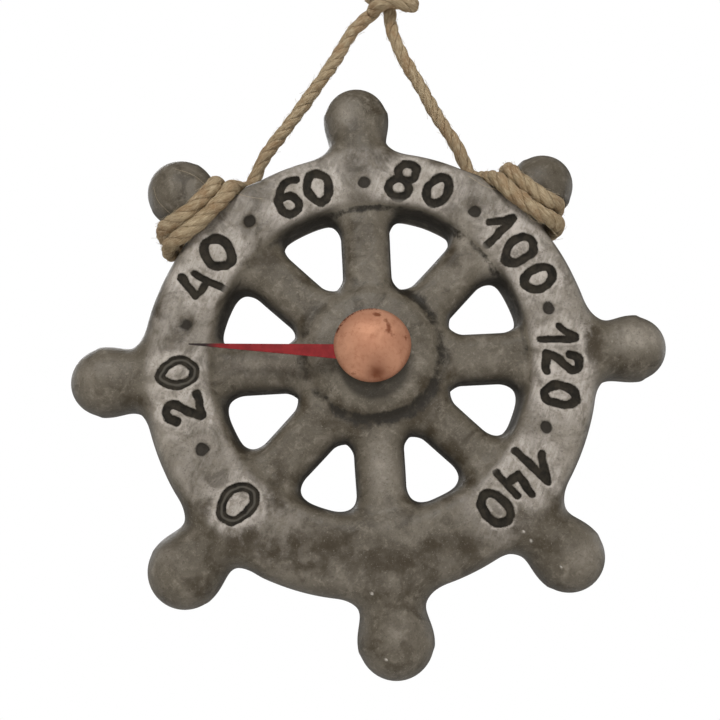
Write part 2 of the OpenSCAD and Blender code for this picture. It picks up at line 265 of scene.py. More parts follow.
class Shader(Nodes):
    """A surface's material under construction."""

    def __init__(self, name, **inputs):
        self.material = bpy.data.materials.new(name)
        self.material.use_nodes = True
        super().__init__(self.material.node_tree)
        self.bsdf = self.tree.nodes["Principled BSDF"]
        self.put(self.bsdf, inputs)

    def finish(self, tone, rough, height=None, distance=0, strength=0):
        self.put(self.bsdf, dict(Base_Color=tone, Roughness=rough))
        if height:
            bump = self.node("ShaderNodeBump", dict(Height=height, Distance=distance, Strength=strength))
            self.put(self.bsdf, dict(Normal=bump.outputs[0]))
        return self.material


def rgb(*screen):
    """A colour as it looks on screen, from 0 to 255, as the linear one that shaders take."""
    linear = [c / 12.92 if c <= 0.04045 else ((c + 0.055) / 1.055) ** 2.4 for c in np.array(screen) / 255]
    return (*linear, 1.0)


WHITE = rgb(255, 255, 255)


# Materials

def clay_material():
    s = Shader("fired_clay", Specular_IOR_Level=0.32)
    mm = s.coordinates()
    stroke, ridge, pit, face, well_wiped, cavity, edge, stain, worn_and_highlight, wall_oxide_and_shade, shade, pale_fleck = [
        s.attribute(name) for name in ("stroke", "ridge", "pit", "face", "wiped", "cavity", "edge", "stain",
                                       "worn_and_highlight", "wall_oxide_and_shade", "shade", "pale_fleck")]
    broad = s.noise(mm, 0.05, 3.0)
    blotch = s.noise(mm, 0.11, 5.0, 0.62, 0.8)
    mottle = s.noise(mm, 0.35, 6.0, 0.68, 0.4)
    grain = s.noise(mm, 1.6, 5.0, 0.7)
    # Streaks left by the cloth that wiped the oxide off, in two directions
    wipe = s.noise(s.coordinates((0.16, 1, 1.2), (0, 0.75, 0)), 0.8, 4.0, 0.6)
    wipe_across = s.noise(s.coordinates((1.2, 1, 0.16), (0, -0.35, 0)), 0.9, 4.0, 0.6)
    tone = s.mix(s.between(broad, 0.35, 0.65), (91, 83, 70), (107, 99, 86))
    tone = s.layered(tone,
                     (blotch, 0.5, 0.7, 0, 0.85, (62, 53, 39)),
                     (blotch, 0.28, 0.46, 0.5, 0, (136, 127, 114)),
                     (mottle, 0.5, 0.72, 0, 0.55, (146, 137, 123)),
                     (mottle, 0.26, 0.42, 0.4, 0, (66, 58, 44)),
                     (wipe, 0.56, 0.72, 0, 0.3, (78, 70, 58)),
                     (wipe, 0.26, 0.42, 0.3, 0, (146, 138, 126)))
    # The rim's face, wiped nearly clean round the figures
    near = s.between(stroke, 0.5, 7.0, 0.95, 0.4)
    wiped = s.times(s.times(well_wiped, near), s.between(blotch, 0.42, 0.64, 1.0, 0.3))
    pale = s.mix(s.between(wipe_across, 0.35, 0.66), (194, 185, 176), (168, 160, 150))
    pale = s.layered(pale, (mottle, 0.48, 0.66, 0, 0.7, (122, 113, 101)))
    # Oxide stains, with painted shade among them by the knobs' necks and under the hub's pad
    daub = s.add(stain, s.between(s.noise(mm, 0.16, 7.0, 0.62, 0.15), 0.36, 0.64, -0.28, 0.25))
    tone = s.layered(tone,
                     (wiped, pale),
                     # Worn places, and painted highlights on the knobs
                     (s.times(worn_and_highlight, s.between(mottle, 0.35, 0.6, 1.0, 0.5)), (172, 163, 150)),
                     (daub, 0.05, 1.05, 0, 0.95, (54, 43, 24)),
                     (grain, 0.3, 0.42, 0.4, 0, (164, 156, 143)))
    # Oxide and painted shade in the recesses and on the windows' walls, oxide round the edges of the
    # figures, and rubbed edges made paler with a painted highlight
    ragged = s.between(mottle, 0.3, 0.7, -0.18, 0.18)
    clotted = s.add(ragged, s.between(blotch, 0.36, 0.64, -0.2, 0.16))
    tone = s.layered(tone,
                     (s.add(cavity, clotted), 0.3, 0.85, (34, 28, 18)),
                     # Painted shade, with some oxide, on walls and faces that turn away from the front
                     (s.times(wall_oxide_and_shade, s.between(mottle, 0.3, 0.7, 1.0, 0.75)), (33, 28, 20)),
                     # Rubbed edges that face the front, paler from wear and a painted highlight
                     (s.times(edge, s.between(mottle, 0.35, 0.62, 0.0, 0.45)), (150, 142, 130)),
                     (grain, 0.54, 0.7, 0, 0.6, (62, 55, 44)))
    # Clay pushed up beside each groove was wiped palest of all
    uneven = s.add(stroke, s.between(grain, 0.3, 0.7, -0.22, 0.22, "LINEAR"))
    beside = s.times(s.between(uneven, 0.0, 0.25), s.between(uneven, 0.35, 1.4, 0.7, 0))
    beside = s.times(beside, s.between(mottle, 0.38, 0.56, 1.0, 0.1))
    ink = s.mix(s.between(mottle, 0.3, 0.7), (26, 23, 17), (54, 48, 39))
    ink = s.layered(ink, (ridge, 0.1, 0.6, 0.6, 0, (100, 95, 86)))
    inked = s.times(s.between(uneven, -0.2, 0.12, 1, 0), face)
    pitted = s.between(s.add(pit, ragged), -0.25, 0.3, 0.92, 0)
    tone = s.layered(tone,
                     (s.times(beside, face), (190, 181, 171)),
                     (shade, (50, 44, 34)),
                     (inked, ink),
                     (pale_fleck, (214, 206, 196)),
                     (pitted, (36, 31, 24)))
    # Ink, pits and the windows' walls are rougher than the bare clay
    rough = s.higher(s.between(mottle, 0.3, 0.7, 0.42, 0.62), s.times(s.higher(inked, pitted), 0.9))
    rough = s.higher(rough, s.times(wall_oxide_and_shade, 0.9))
    height = s.add(s.add(s.times(mottle, 0.8), s.times(grain, 0.2)), s.times(blotch, 1.2))
    return s.finish(tone, rough, height, 0.0004, 0.8)


def copper_material():
    s = Shader("spotted_copper", Metallic=0.5, Specular_IOR_Level=0.2)
    mm = s.coordinates()
    broad = s.noise(mm, 0.12, 3.0, 0.5, 0.5)
    mottle = s.noise(mm, 0.6, 6.0, 0.7)
    tone = s.mix(s.between(broad, 0.35, 0.65), (186, 134, 106), (204, 152, 122))
    spoiled = s.add(s.attribute("tarnish"), s.between(mottle, 0.35, 0.65, -0.2, 0.2))
    pitted = s.times(s.attribute("nick"), s.between(s.noise(mm, 1.4, 2.0), 0.5, 0.58))
    tone = s.layered(tone,
                     (mottle, 0.5, 0.72, 0, 0.45, (168, 110, 82)),
                     # Painted reflections of darker surroundings, most at the bottom, and round its edge
                     (s.attribute("shade"), (120, 70, 48)),
                     (spoiled, 0.25, 0.9, 0, 0.9, (128, 72, 48)),
                     (pitted, (104, 58, 44)))
    rough = s.between(mottle, 0.3, 0.7, 0.62, 0.75)
    return s.finish(tone, rough, mottle, 0.0002, 0.4)


def brass_material(name, thread=0.0):
    """Turned brass, with bands of a thread at a given scale where there is one."""
    s = Shader(name, Metallic=1.0)
    mm = s.coordinates()
    turned = s.noise(s.coordinates((0.2, 3, 0.2)), 1.2, 3.0)
    stain = s.noise(mm, 0.35, 5.0, 0.6)
    tone = s.mix(s.between(stain, 0.35, 0.7), (196, 168, 104), (140, 112, 62))
    height = turned
    if thread:
        wave = s.node("ShaderNodeTexWave", dict(Vector=mm, Scale=thread, Distortion=0.0),
                      wave_type="BANDS", bands_direction="Y", wave_profile="TRI")
        height = s.add(s.times(wave.outputs["Fac"], 2.0), turned)
    rough = s.between(turned, 0.3, 0.7, 0.28, 0.45)
    return s.finish(tone, rough, height, 0.0002, 0.5)


def steel_material():
    s = Shader("rolled_bimetal", Metallic=1.0)
    lines = s.noise(s.coordinates((0.5, 8, 0.5)), 1.0, 4.0)
    tone = s.mix(s.between(lines, 0.3, 0.7), (150, 150, 146), (186, 184, 178))
    rough = s.between(lines, 0.3, 0.7, 0.3, 0.45)
    return s.finish(tone, rough, lines, 0.0001, 0.4)


def fibre_material():
    s = Shader("vulcanised_fibre")
    mm = s.coordinates()
    tone = s.mix(s.between(s.noise(mm, 1.3, 5.0), 0.35, 0.65), (112, 66, 42), (140, 90, 60))
    rough = s.between(s.noise(mm, 4.0), 0.3, 0.7, 0.55, 0.75)
    return s.finish(tone, rough, s.noise(mm, 5.0, 3.0), 0.0001, 0.5)


def pointer_material():
    s = Shader("red_lacquer", Specular_IOR_Level=0.15)
    mm = s.coordinates()
    cloud = s.noise(mm, 0.3, 4.0)
    tone = s.mix(s.between(cloud, 0.35, 0.7), (140, 32, 34), (118, 24, 26))
    tone = s.layered(tone,
                     (s.noise(mm, 3.0, 4.0), 0.66, 0.74, 0, 0.6, (104, 20, 24)),
                     (s.distance_to(tuple(hung((0, HUB_LIFT, 0)))), *POINTER_DARK, (44, 34, 32)))
    rough = s.between(cloud, 0.3, 0.7, 0.32, 0.48)
    return s.finish(tone, rough, s.noise(mm, 2.5), 0.0001, 0.3)


def jute_material():
    s = Shader("jute", Specular_IOR_Level=0.15)
    lay = s.attribute("lay", "Vector")
    fibres = s.noise(s.mapped(lay, (1, 1, 0.2)), 1.9, 5.0, 0.68)
    fine = s.noise(s.mapped(lay, (1, 1, 0.14)), 5.0, 3.0, 0.6)
    tuft = s.noise(s.coordinates(), 0.16, 4.0, 0.6)
    # Painted shade in the valleys between the strands
    valley_shade = s.times(s.attribute("valley_shade"), s.between(fibres, 0.35, 0.65, 0.8, 0.35))
    tone = s.mix(s.between(fibres, 0.3, 0.7), (140, 120, 91), (180, 162, 133))
    tone = s.layered(tone,
                     (tuft, 0.42, 0.66, 0, 0.7, (142, 114, 84)),
                     (fine, 0.54, 0.7, 0, 0.6, (204, 188, 160)),
                     (fine, 0.3, 0.45, 0.6, 0, (104, 84, 56)),
                     (valley_shade, (96, 76, 50)))
    rough = s.between(fibres, 0.3, 0.7, 0.82, 0.95)
    height = s.add(fibres, s.times(fine, 0.5))
    return s.finish(tone, rough, height, 0.0003, 0.8)


def hair_material():
    s = Shader("jute_hair")
    tone = s.mix(s.noise(s.coordinates(), 0.5), (150, 130, 98), (204, 188, 158))
    return s.finish(tone, s.between(s.noise(s.coordinates(), 1.0), 0.3, 0.7, 0.7, 0.9))


CLAY = clay_material()
COPPER = copper_material()
BRASS = brass_material("turned_brass")
STUD_BRASS = brass_material("threaded_brass", thread=1.4)
STEEL = steel_material()
FIBRE = fibre_material()
RED = pointer_material()
JUTE = jute_material()
HAIR = hair_material()

# Twine

WRAP_PITCH, WRAP_ROOT_HALF, WRAP_TIP_HALF, WRAP_DEPTH_HALF, WRAP_SQUARE = 5.2, 14.7, 13.5, 13.5, 0.7
WRAP_START, WRAP_DIP, WRAP_RIM_ROOM = math.radians(-20), 3.7, -0.9
TURN_POINTS, TWINE_STEP, CORD_EVERY = 48, 0.5, 4
FOOT_REACH, FOOT_ANGLE = 78.8, math.radians(14.7)
WRAP_START_U = math.sqrt((RIM_OUTER + TWINE_R + WRAP_RIM_ROOM) ** 2 - WRAP_ROOT_HALF ** 2)
LEG_FOOT = np.array([FOOT_REACH * math.sin(FOOT_ANGLE), TWINE_BACK, FOOT_REACH * math.cos(FOOT_ANGLE)])
FOOT_GAP = TWINE_R + 0.6
LEFT_ROUTE = [(-38, 77.5), (-29.4, 90), (-21.4, 102), (-13.1, 115), (-6.6, 126.5), (1.5, 134.5)]
RIGHT_ROUTE = [(30.5, 82), (23.6, 93.5), (18, 104.5), (11.8, 116), (7.7, 127), (6.8, 136)]
LOOP_ROUTE = [(4, 142), (1, 150), (-1.5, 157), (-1.5, 164), (1, 169.5), (5, 172.4),
              (9, 169.5), (11.5, 164), (11.5, 157), (9, 150), (7, 142)]
LAY_PITCH = 16.0
STRAND_R, STRAND_OFF, LOBE_POINTS = 1.8, 0.6, 10
# The jute's own coordinates: turn along a strand, reach from its middle, and distance between strands
FIBRE_DRIFT, FIBRE_OUT, STRAND_APART = 0.35, 1.3, 9
# Where a lobe's own circle meets its neighbours'
LOBE_HALF = math.pi - math.asin(STRAND_OFF * math.sin(math.pi / 3) / STRAND_R) - math.pi / 3
# Loose fibres: their radius and lengths, how far apart they are, and how many are how near a frayed place
FIBRE_R, FIBRE_LENGTHS, FIBRE_EVERY, FRAYED_COUNT, FRAYED_R = 0.05, (1.0, 3.2), 0.4, 260, 8.0
# How far from the twine's middle they start, points in each, and what share of them points back along it
FIBRE_ROOT, FIBRE_POINTS, FIBRES_BACK = 2.1, 6, 0.4
LEFT_FRAYED = (-65.0, 44.0, 9.5)
# The wraps press together, so they lie a little fuller than the legs, and so does the knot
WRAP_FULLER, KNOT_FULLER = 1.14, 1.12


def squared(v):
    return np.sign(v) * np.abs(v) ** WRAP_SQUARE


def wrap_path(turns, trim):
    """A wrap's middle line in its knob's frame: across towards the top knob, back and outwards.

    trim widens it towards the top knob, and away from it in the first turn and the second.
    """
    turn = np.linspace(0, turns, round(TURN_POINTS * turns) + 1)
    climb = WRAP_PITCH * turn
    half = WRAP_ROOT_HALF + (WRAP_TIP_HALF - WRAP_ROOT_HALF) * np.minimum(1, climb / (1.2 * WRAP_PITCH))
    a = WRAP_START - 2 * math.pi * turn
    later = ramp(turn, 0.7, 1.1)
    half = half + trim[0] * np.maximum(0, np.cos(a)) * ramp(turn, 0.5, 0.8)
    half = half + (trim[1] * (1 - later) + trim[2] * later) * np.maximum(0, -np.cos(a))
    forward = np.maximum(0, -squared(np.sin(a)))
    winding = np.stack([half * squared(np.cos(a)), WRAP_DEPTH_HALF * squared(np.sin(a)),
                        WRAP_START_U + climb - WRAP_DIP * forward ** 3], -1)
    run = winding[0] - LEG_FOOT
    run /= np.linalg.norm(run)
    return np.vstack([[LEG_FOOT + 2 * FOOT_GAP * run], winding[2:]])


def from_knob(p, angle, side):
    """From a knob's frame to the flat wheel's, as part.scad's to_flat does it."""
    across = np.array([-math.sin(angle) * side, math.cos(angle) * side])
    out = np.array([math.cos(angle), math.sin(angle)])
    return np.stack([p[..., 0] * across[0] + p[..., 2] * out[0],
                     p[..., 0] * across[1] + p[..., 2] * out[1], -p[..., 1]], -1)


def twine_skin(path, phase, fuller):
    """A three-strand twine's skin round a path in metres: points, faces, fibre coordinates and the valleys'
    painted shade.
    """
    _, n, b = frames_along(path)
    s = run_of(path) / MM
    # Hand-spun twine is nowhere quite the same thickness
    uneven = 1 + 0.04 * np.sin(s / 3.1 + phase) + 0.03 * np.sin(s / 1.27 + 2 * phase)
    grow = (fuller * uneven)[:, None]
    # Its section is three lobes, one for each strand
    sides = 3 * LOBE_POINTS
    lobe = np.repeat(range(3), LOBE_POINTS)
    a = np.tile(np.linspace(-LOBE_HALF, LOBE_HALF, LOBE_POINTS + 1)[:-1], 3)
    centre = 2 * math.pi * lobe / 3
    across = STRAND_OFF * np.cos(centre) + STRAND_R * np.cos(centre + a)
    up = STRAND_OFF * np.sin(centre) + STRAND_R * np.sin(centre + a)
    turn = phase + 2 * math.pi * s / LAY_PITCH + 0.3 * np.sin(s / 6.3 + phase)
    cos, sin = np.cos(turn)[:, None], np.sin(turn)[:, None]
    x = (across * cos - up * sin) * grow * MM
    y = (across * sin + up * cos) * grow * MM
    points = path[:, None] + x[..., None] * n[:, None] + y[..., None] * b[:, None]
    # Fibres in a strand lie nearly along the twine, since the strands are spun the other way
    spin = a + FIBRE_DRIFT * s[:, None]
    lay = np.stack([FIBRE_OUT * np.cos(spin) + STRAND_APART * lobe, FIBRE_OUT * np.sin(spin),
                    s[:, None] + 0 * spin], -1)
    # Painted shade in the valleys between the strands
    valley_shade = ramp(np.abs(a), 0.62 * LOBE_HALF, LOBE_HALF) + 0 * s[:, None]
    i, k = np.meshgrid(np.arange(len(path) - 1), np.arange(sides), indexing="ij")
    i, k = i.ravel(), k.ravel()
    k1 = (k + 1) % sides
    faces = list(np.stack([i * sides + k, i * sides + k1, (i + 1) * sides + k1, (i + 1) * sides + k], -1))
    last = (len(path) - 1) * sides
    faces += [tuple(range(sides))[::-1], tuple(last + j for j in range(sides))]
    return points.reshape(-1, 3), faces, lay.reshape(-1, 3), valley_shade.ravel()


def fibre(line, first):
    """One loose fibre along a line in metres, as a thin three-sided tube that starts at a vertex number."""
    _, n, b = frames_along(line)
    a = 2 * math.pi / 3 * np.arange(3)
    ring = np.cos(a)[None, :, None] * n[:, None] + np.sin(a)[None, :, None] * b[:, None]
    points = (line[:, None] + FIBRE_R * MM * ring).reshape(-1, 3)
    faces = [(i + k, i + k1, i + 3 + k1, i + 3 + k) for i in range(first, first + 3 * len(line) - 3, 3)
             for k, k1 in ((0, 1), (1, 2), (2, 0))]
    return points, faces


def fuzz_lines(path, fuller, seed, count, chosen):
    """Short fibres that stand off a twine, at the chosen points of its path."""
    rng = np.random.default_rng(seed)
    t, n, b = frames_along(path)
    lines = []
    for _ in range(count):
        i = rng.choice(chosen)
        a = rng.uniform(0, 2 * math.pi)
        out = math.cos(a) * n[i] + math.sin(a) * b[i]
        side = math.cos(a) * b[i] - math.sin(a) * n[i]
        length = rng.uniform(*FIBRE_LENGTHS)
        lift, swing, bend = rng.uniform(0.15, 0.5), rng.uniform(-0.5, 0.5), rng.uniform(-0.5, 0.5)
        u = np.linspace(0, 1, FIBRE_POINTS)[:, None]
        along = t[i] * (1 if rng.uniform() > FIBRES_BACK else -1)
        lines.append(path[i] + MM * (out * (FIBRE_ROOT * fuller[i] + lift * length * u * (1 - 0.35 * u))
                                     + along * length * u + side * length * (swing * u + bend * u * u)))
    return lines


def twine_piece(name, path, body, phase, fuller):
    points, faces, lay, valley_shade = twine_skin(path, phase, fuller)
    piece = new_piece(name, points, faces, JUTE, body)
    write_attribute(piece, "lay", lay)
    write_attribute(piece, "valley_shade", valley_shade)
    return piece


def fibre_piece(name, path, body, fuller, seed, stray=(), frayed=None):
    """A twine's loose fibres: short ones all along it, more where it is frayed, and the long stray ones."""
    count = int(length_of(path) / MM / FIBRE_EVERY)
    lines = fuzz_lines(path, fuller, seed, count, np.arange(2, len(path) - 2))
    if frayed is not None:
        worst = np.flatnonzero(np.linalg.norm(path - hung(frayed), axis=1) < FRAYED_R * MM)
        lines += fuzz_lines(path, fuller, seed + 20, FRAYED_COUNT, worst)
    points, faces = [], []
    for line in [*lines, *stray]:
        line_points, line_faces = fibre(line, len(points))
        points.extend(line_points)
        faces += line_faces
    piece = new_piece(name, points, faces, HAIR, body)
    return piece


def whole_path(angle, side, turns, trim, route):
    """From a wrap's free end to the leg's top, the leg's foot, and how full the twine is on the way."""
    wrap = hung(from_knob(wrap_path(turns, trim), angle, side))[::-1]
    foot = hung(from_knob(LEG_FOOT, angle, side))
    path = smooth_path(np.vstack([wrap[::4], [foot], hung_plane(route)]), TWINE_STEP * MM)
    before = np.arange(len(path)) - np.argmin(np.linalg.norm(path - foot, axis=1))
    return path, foot, 1 + (WRAP_FULLER - 1) * (1 - ramp(before, -10, 4))


def in_front(*places):
    """A smooth line through places given across, up and forwards in the flat wheel's frame."""
    return smooth_path(hung(places), 0.8 * MM)


def over_dial(forwards, *pixels):
    """A smooth line over pixels of the photograph, so far forwards of the wheel's middle."""
    return in_front(*[(*on_dial(*pixel), forwards) for pixel in pixels])


LEFT = dict(angle=math.radians(135), side=-1, turns=1.8, trim=(-2.4, 2.4, 0.4), route=LEFT_ROUTE)
RIGHT = dict(angle=math.radians(45), side=1, turns=1.75, trim=(-3.0, 0.6, -3.0), route=RIGHT_ROUTE)
# Long loose fibres: over the left knob, and along the rim under the right wrap
LEFT_STRAY = [in_front((-52, 62, 12), (-57, 66, 13.5), (-63, 69, 12)),
              in_front((-64, 52, 13), (-69, 58, 11.5), (-71, 64, 9)),
              over_dial(11.6, (231, 192), (245, 197), (263, 200)),
              in_front((-62, 47, 14), (-67, 45, 12), (-72, 46, 9))]
RIGHT_STRAY = [over_dial(11.6, (468, 177), (484, 187), (500, 192), (513, 199), (524, 208)),
               over_dial(12.6, (524, 206), (526, 216), (533, 223), (545, 227), (556, 238))]
for name, plan, nodes, seed, stray, frayed in (
        ("left_twine", LEFT, ("left_wrap", "left_leg"), 3, LEFT_STRAY, LEFT_FRAYED),
        ("right_twine", RIGHT, ("right_wrap", "right_leg"), 4, RIGHT_STRAY, None)):
    path, foot, fuller = whole_path(**plan)
    piece = twine_piece(name, path, None, 0.0, fuller)
    fibres = fibre_piece(name + "_fibres", path, None, fuller, seed, stray, frayed)
    foot = Vector(foot)
    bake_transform(piece)
    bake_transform(fibres)
    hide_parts(*nodes)

loop_path = smooth_path(hung_plane(LOOP_ROUTE), TWINE_STEP * MM)
loop_fuller = np.ones(len(loop_path))
loop = twine_piece("twine_loop", loop_path, "hanger", 0.0, loop_fuller)
fibre_piece("loop_fibres", loop_path, "hanger", loop_fuller, 5)
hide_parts("hanging_loop")

# Knot: the left leg crosses in front of the right one, turns back at the right and goes round again
KNOT_ROUTE = [(0.6, 4.6, 133.6), (3, 1, 134.2), (7, -1.2, 134.6), (12, 0.4, 134.3), (15.2, 4.4, 136.2),
              (11.5, 9.2, 140), (6, 10.6, 141), (0.8, 8.5, 141.5), (-0.8, 4, 142.2), (2.5, 0, 142),
              (8, -0.6, 141), (12.2, 3, 142.5), (10.5, 7.5, 144), (7, 6, 146)]
knot_path = smooth_path((np.array(KNOT_ROUTE) - HOOK) * MM, TWINE_STEP * MM)
knot_fuller = np.full(len(knot_path), KNOT_FULLER)
knot = twine_piece("knot", knot_path, "hanger", 1.0, knot_fuller)
fibre_piece("knot_fibres", knot_path, "hanger", knot_fuller, 6)
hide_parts("top_knot")


# Clay wheel

def smin(a, b, k):
    """The smaller of two distances, with the crease between them filled."""
    h = np.maximum(k - np.abs(a - b), 0) / k
    return np.minimum(a, b) - h * h * (k / 4)


def smax(a, b, k):
    return -smin(-a, -b, k)


def rounded(a, b, r):
    """Where two half-spaces overlap, with their corner rounded by radius r."""
    return np.minimum(np.maximum(a, b), -r) + np.hypot(np.maximum(a + r, 0), np.maximum(b + r, 0))


def segment_distance(x, y, a, b):
    ax, ay = a
    bx, by = b
    dx, dy = bx - ax, by - ay
    t = np.clip(((x - ax) * dx + (y - ay) * dy) / (dx * dx + dy * dy), 0, 1)
    return np.hypot(x - ax - t * dx, y - ay - t * dy)


# Middle lines of the hand-cut figures, from 0 round to 140: each its kind, its line's half width in
# millimetres, and the columns and rows of its places in the photograph, in turn
ROUND, BENT, RIDGED = "closed curve", "open curve", "closed curve with a ridge in its groove"
STRAIGHT = "straight lines"
FIGURES = [
    (RIDGED, 1.6, 241.5, 486.7, 252.1, 490.8, 254, 503.6, 243.5, 515.3, 233.3, 521, 222.8, 517.2,
     221.4, 505.8, 227.4, 493.5),
    (STRAIGHT, 1.45, 196.5, 393.3, 199.4, 402, 201.6, 415.8),
    (BENT, 1.5, 201.5, 415.5, 190.5, 412.3, 182, 408, 174.5, 404.6, 168.5, 406.3, 165.4, 412.5, 169.5, 419,
     176.5, 421.5),
    (RIDGED, 1.6, 177.5, 360, 185, 360.9, 190.8, 365, 194.4, 370.8, 189.4, 380.8, 179.2, 384.8, 170, 383.8,
     161.7, 380, 160, 374.6, 165.4, 365.8),
    (STRAIGHT, 1.35, 181, 277, 196, 296, 206, 283.5),
    (STRAIGHT, 1.35, 194, 273.3, 208, 281.3, 224.5, 288.2),
    (ROUND, 1.6, 217.5, 238.4, 226, 243.5, 231.5, 255.5, 228.3, 264.5, 221, 265.2, 211.8, 264.5,
     207.2, 258.5, 203.6, 249.3, 206.4, 241.6),
    (BENT, 1.45, 295.5, 179.5, 288, 180.8, 281.8, 187, 278.8, 195, 279, 203.5, 282, 210.5, 289.5, 213.5,
     296.5, 210.5, 299, 204.5, 296.5, 198.8, 290.8, 195.6, 283.5, 196.5),
    (ROUND, 1.5, 315.1, 173.1, 325.1, 176.9, 329.2, 187.6, 326.2, 197.6, 319.1, 201.9, 310.9, 195.9,
     306.6, 188, 308.5, 178),
    (ROUND, 1.45, 407.2, 163.1, 414.2, 165.9, 416.2, 171.3, 413.8, 178, 405, 180.5, 399.5, 176.5,
     398.8, 170.5, 401.8, 164.8),
    (ROUND, 1.5, 405, 180.5, 408.6, 187, 406.8, 193.3, 398, 196.2, 390.5, 193, 388.6, 187, 391, 181.5,
     397.5, 178.3),
    (ROUND, 1.5, 440.3, 176.9, 447.6, 179.4, 449.2, 187.8, 443.4, 199.4, 434.9, 203.2, 428.2, 199.4,
     426.8, 190.2, 431.8, 182.1),
    (STRAIGHT, 1.4, 489.5, 222, 503, 220.3, 513, 216.8),
    (STRAIGHT, 1.45, 513.5, 217.5, 500, 232, 488, 244),
    (ROUND, 1.5, 524.4, 236.4, 532.5, 240.9, 533.5, 249.5, 525.3, 257.7, 515.3, 262.7, 506.6, 259.1,
     507.3, 249.5, 513, 240.5),
    (ROUND, 1.5, 543.5, 266.8, 550.3, 269.1, 552.5, 276.4, 546.6, 285, 536.6, 289.1, 528, 286.8, 524.5, 280,
     529.8, 270.9),
    (STRAIGHT, 1.25, 540, 338.7, 560, 339, 576.5, 338.2),
    (STRAIGHT, 1.25, 559.3, 325.8, 567, 332, 576.5, 336.5),
    (STRAIGHT, 1.4, 546.5, 353, 546, 363, 547, 371.5),
    (BENT, 1.45, 546.5, 353, 553, 354.5, 560, 359.5, 567, 366, 573, 370, 578.3, 368, 579.6, 361, 576, 355.8,
     569.5, 354.5),
    (ROUND, 1.5, 558, 384.8, 571.5, 389, 576.2, 396, 575, 401, 569, 404.6, 561, 404.2, 548.5, 400.2,
     544.5, 393.5, 548, 387.8),
    (STRAIGHT, 1.35, 515, 450.5, 532, 466, 547.5, 481.5),
    (STRAIGHT, 1.35, 542, 453.5, 543.5, 465, 546.5, 478),
    (STRAIGHT, 1.35, 531.5, 493.5, 518.5, 474.8, 508.5, 482),
    (STRAIGHT, 1.35, 497, 473, 507, 484, 517, 495),
    (ROUND, 1.5, 488.9, 493.4, 497.5, 496, 504.8, 502.3, 510.5, 511, 507.3, 520, 498, 523, 487.1, 516.4,
     481.6, 505.5, 483, 496.8),
]
# Dots between the numbers, and a faint one by the pointer's tip
DOTS = [(201.8, 449.3), (249.3, 220.6), (364, 181.5), (474.8, 210.8), (548.7, 307.5), (546.5, 426.8)]
FAINT_DOT = (185.8, 324)
DOT_R, DOT_DEPTH, FAINT_R, FAINT_DEPTH, STROKE_DEPTH = 2.3, 1.4, 2.6, 0.8, 1.4
# How far a groove widens towards the face, and its ridge's width and share of the depth
STROKE_EDGE, RIDGE_W, RIDGE_SHARE = 1.5, 0.45, 0.5
# How steep and how soft each kind of hollow is at its edge
STROKE_CUT, DOT_CUT, FAINT_CUT = (1.2, 0.5), (1.3, 0.7), (0.5, 0.5)
# How far the hand shook and how uneven the grooves' edges are, each with its waves' length
SHAKE, SHAKE_WAVE, EDGE_SHAKE, EDGE_WAVE = 0.35, 4, 0.25, 6
# The face's hollows are cut only in front of this, and FAR is further than any distance used
FACE_FROM_Z, FAR = 5, 99.0


def figure_line(kind, places):
    """A figure's middle line on the flat wheel."""
    line = [on_dial(*p) for p in zip(places[::2], places[1::2])]
    if kind == STRAIGHT:
        return np.array(line)
    if kind == BENT:
        return smooth_path(line, 0.7)
    # The middle one of three rounds
    rounds = smooth_path(line * 3 + line[:1], 0.7)
    return rounds[len(rounds) // 3 - 1:2 * len(rounds) // 3 + 2]


LINES = [(figure_line(kind, places), half, kind == RIDGED) for kind, half, *places in FIGURES]


def sway(x, y, z, size, seed):
    """Slow unevenness of hand-shaped clay, from -1 to 1."""
    total = 0
    rng = np.random.default_rng(seed)
    for k in range(5):
        way = rng.normal(size=3)
        way /= np.linalg.norm(way) * size * (0.6 + 0.3 * k)
        waves = way[0] * x + way[1] * y + way[2] * z
        total = total + np.sin(2 * math.pi * waves + rng.uniform(0, ABOUT_TURN)) / 5
    return total


def shaken(x, y):
    """Places moved a little, as the hand that cut the figures shook."""
    return x + SHAKE * sway(x, y, 0, SHAKE_WAVE, 21), y + SHAKE * sway(x, y, 0, SHAKE_WAVE, 22)


def stroke_distance(x, y, reach):
    """How far each point of the dial lies outside the nearest groove, and from a ridge in one."""
    nearest = np.full(x.shape, FAR)
    ridged = np.full(x.shape, FAR)
    uneven = EDGE_SHAKE * sway(x, y, 0, EDGE_WAVE, 23)
    x, y = shaken(x, y)
    for line, half, ridge in LINES:
        low, high = line.min(0) - reach, line.max(0) + reach
        inside = (x > low[0]) & (x < high[0]) & (y > low[1]) & (y < high[1])
        px, py = x[inside], y[inside]
        d = np.full(px.shape, FAR)
        for a, b in zip(line, line[1:]):
            d = np.minimum(d, segment_distance(px, py, a, b))
        nearest[inside] = np.minimum(nearest[inside], d - half + uneven[inside])
        if ridge:
            ridged[inside] = np.minimum(ridged[inside], d)
    return nearest, ridged


def dot_distance(x, y, dots):
    x, y = shaken(x, y)
    nearest = np.full(x.shape, FAR)
    for dot in dots:
        cx, cy = on_dial(*dot)
        nearest = np.minimum(nearest, np.hypot(x - cx, y - cy))
    return nearest


EIGHTHS = range(0, 360, 45)
HALF_STEP = math.pi / 8
# Each knob's spoke in degrees, its lean, its ball's distance and radius across, and its neck's radius
KNOBS = [(0, 1.0, 88.6, 10.8, 9.4), (45, -0.8, 87.2, 10.8, 8.8), (90, 0.55, 88.5, 11.1, 9.4),
         (135, -0.6, 90.0, 11.6, 8.8), (180, 0.6, 89.2, 11.6, 9.8), (225, 0.2, 90.3, 12.4, 9.3),
         (270, 1.8, 90.0, 12.1, 9.8), (315, -2.6, 89.2, 11.8, 9.4)]
KNOB_HALF_T, ARM_INNER = 10.6, 40
WRAPPED = (45, 135)
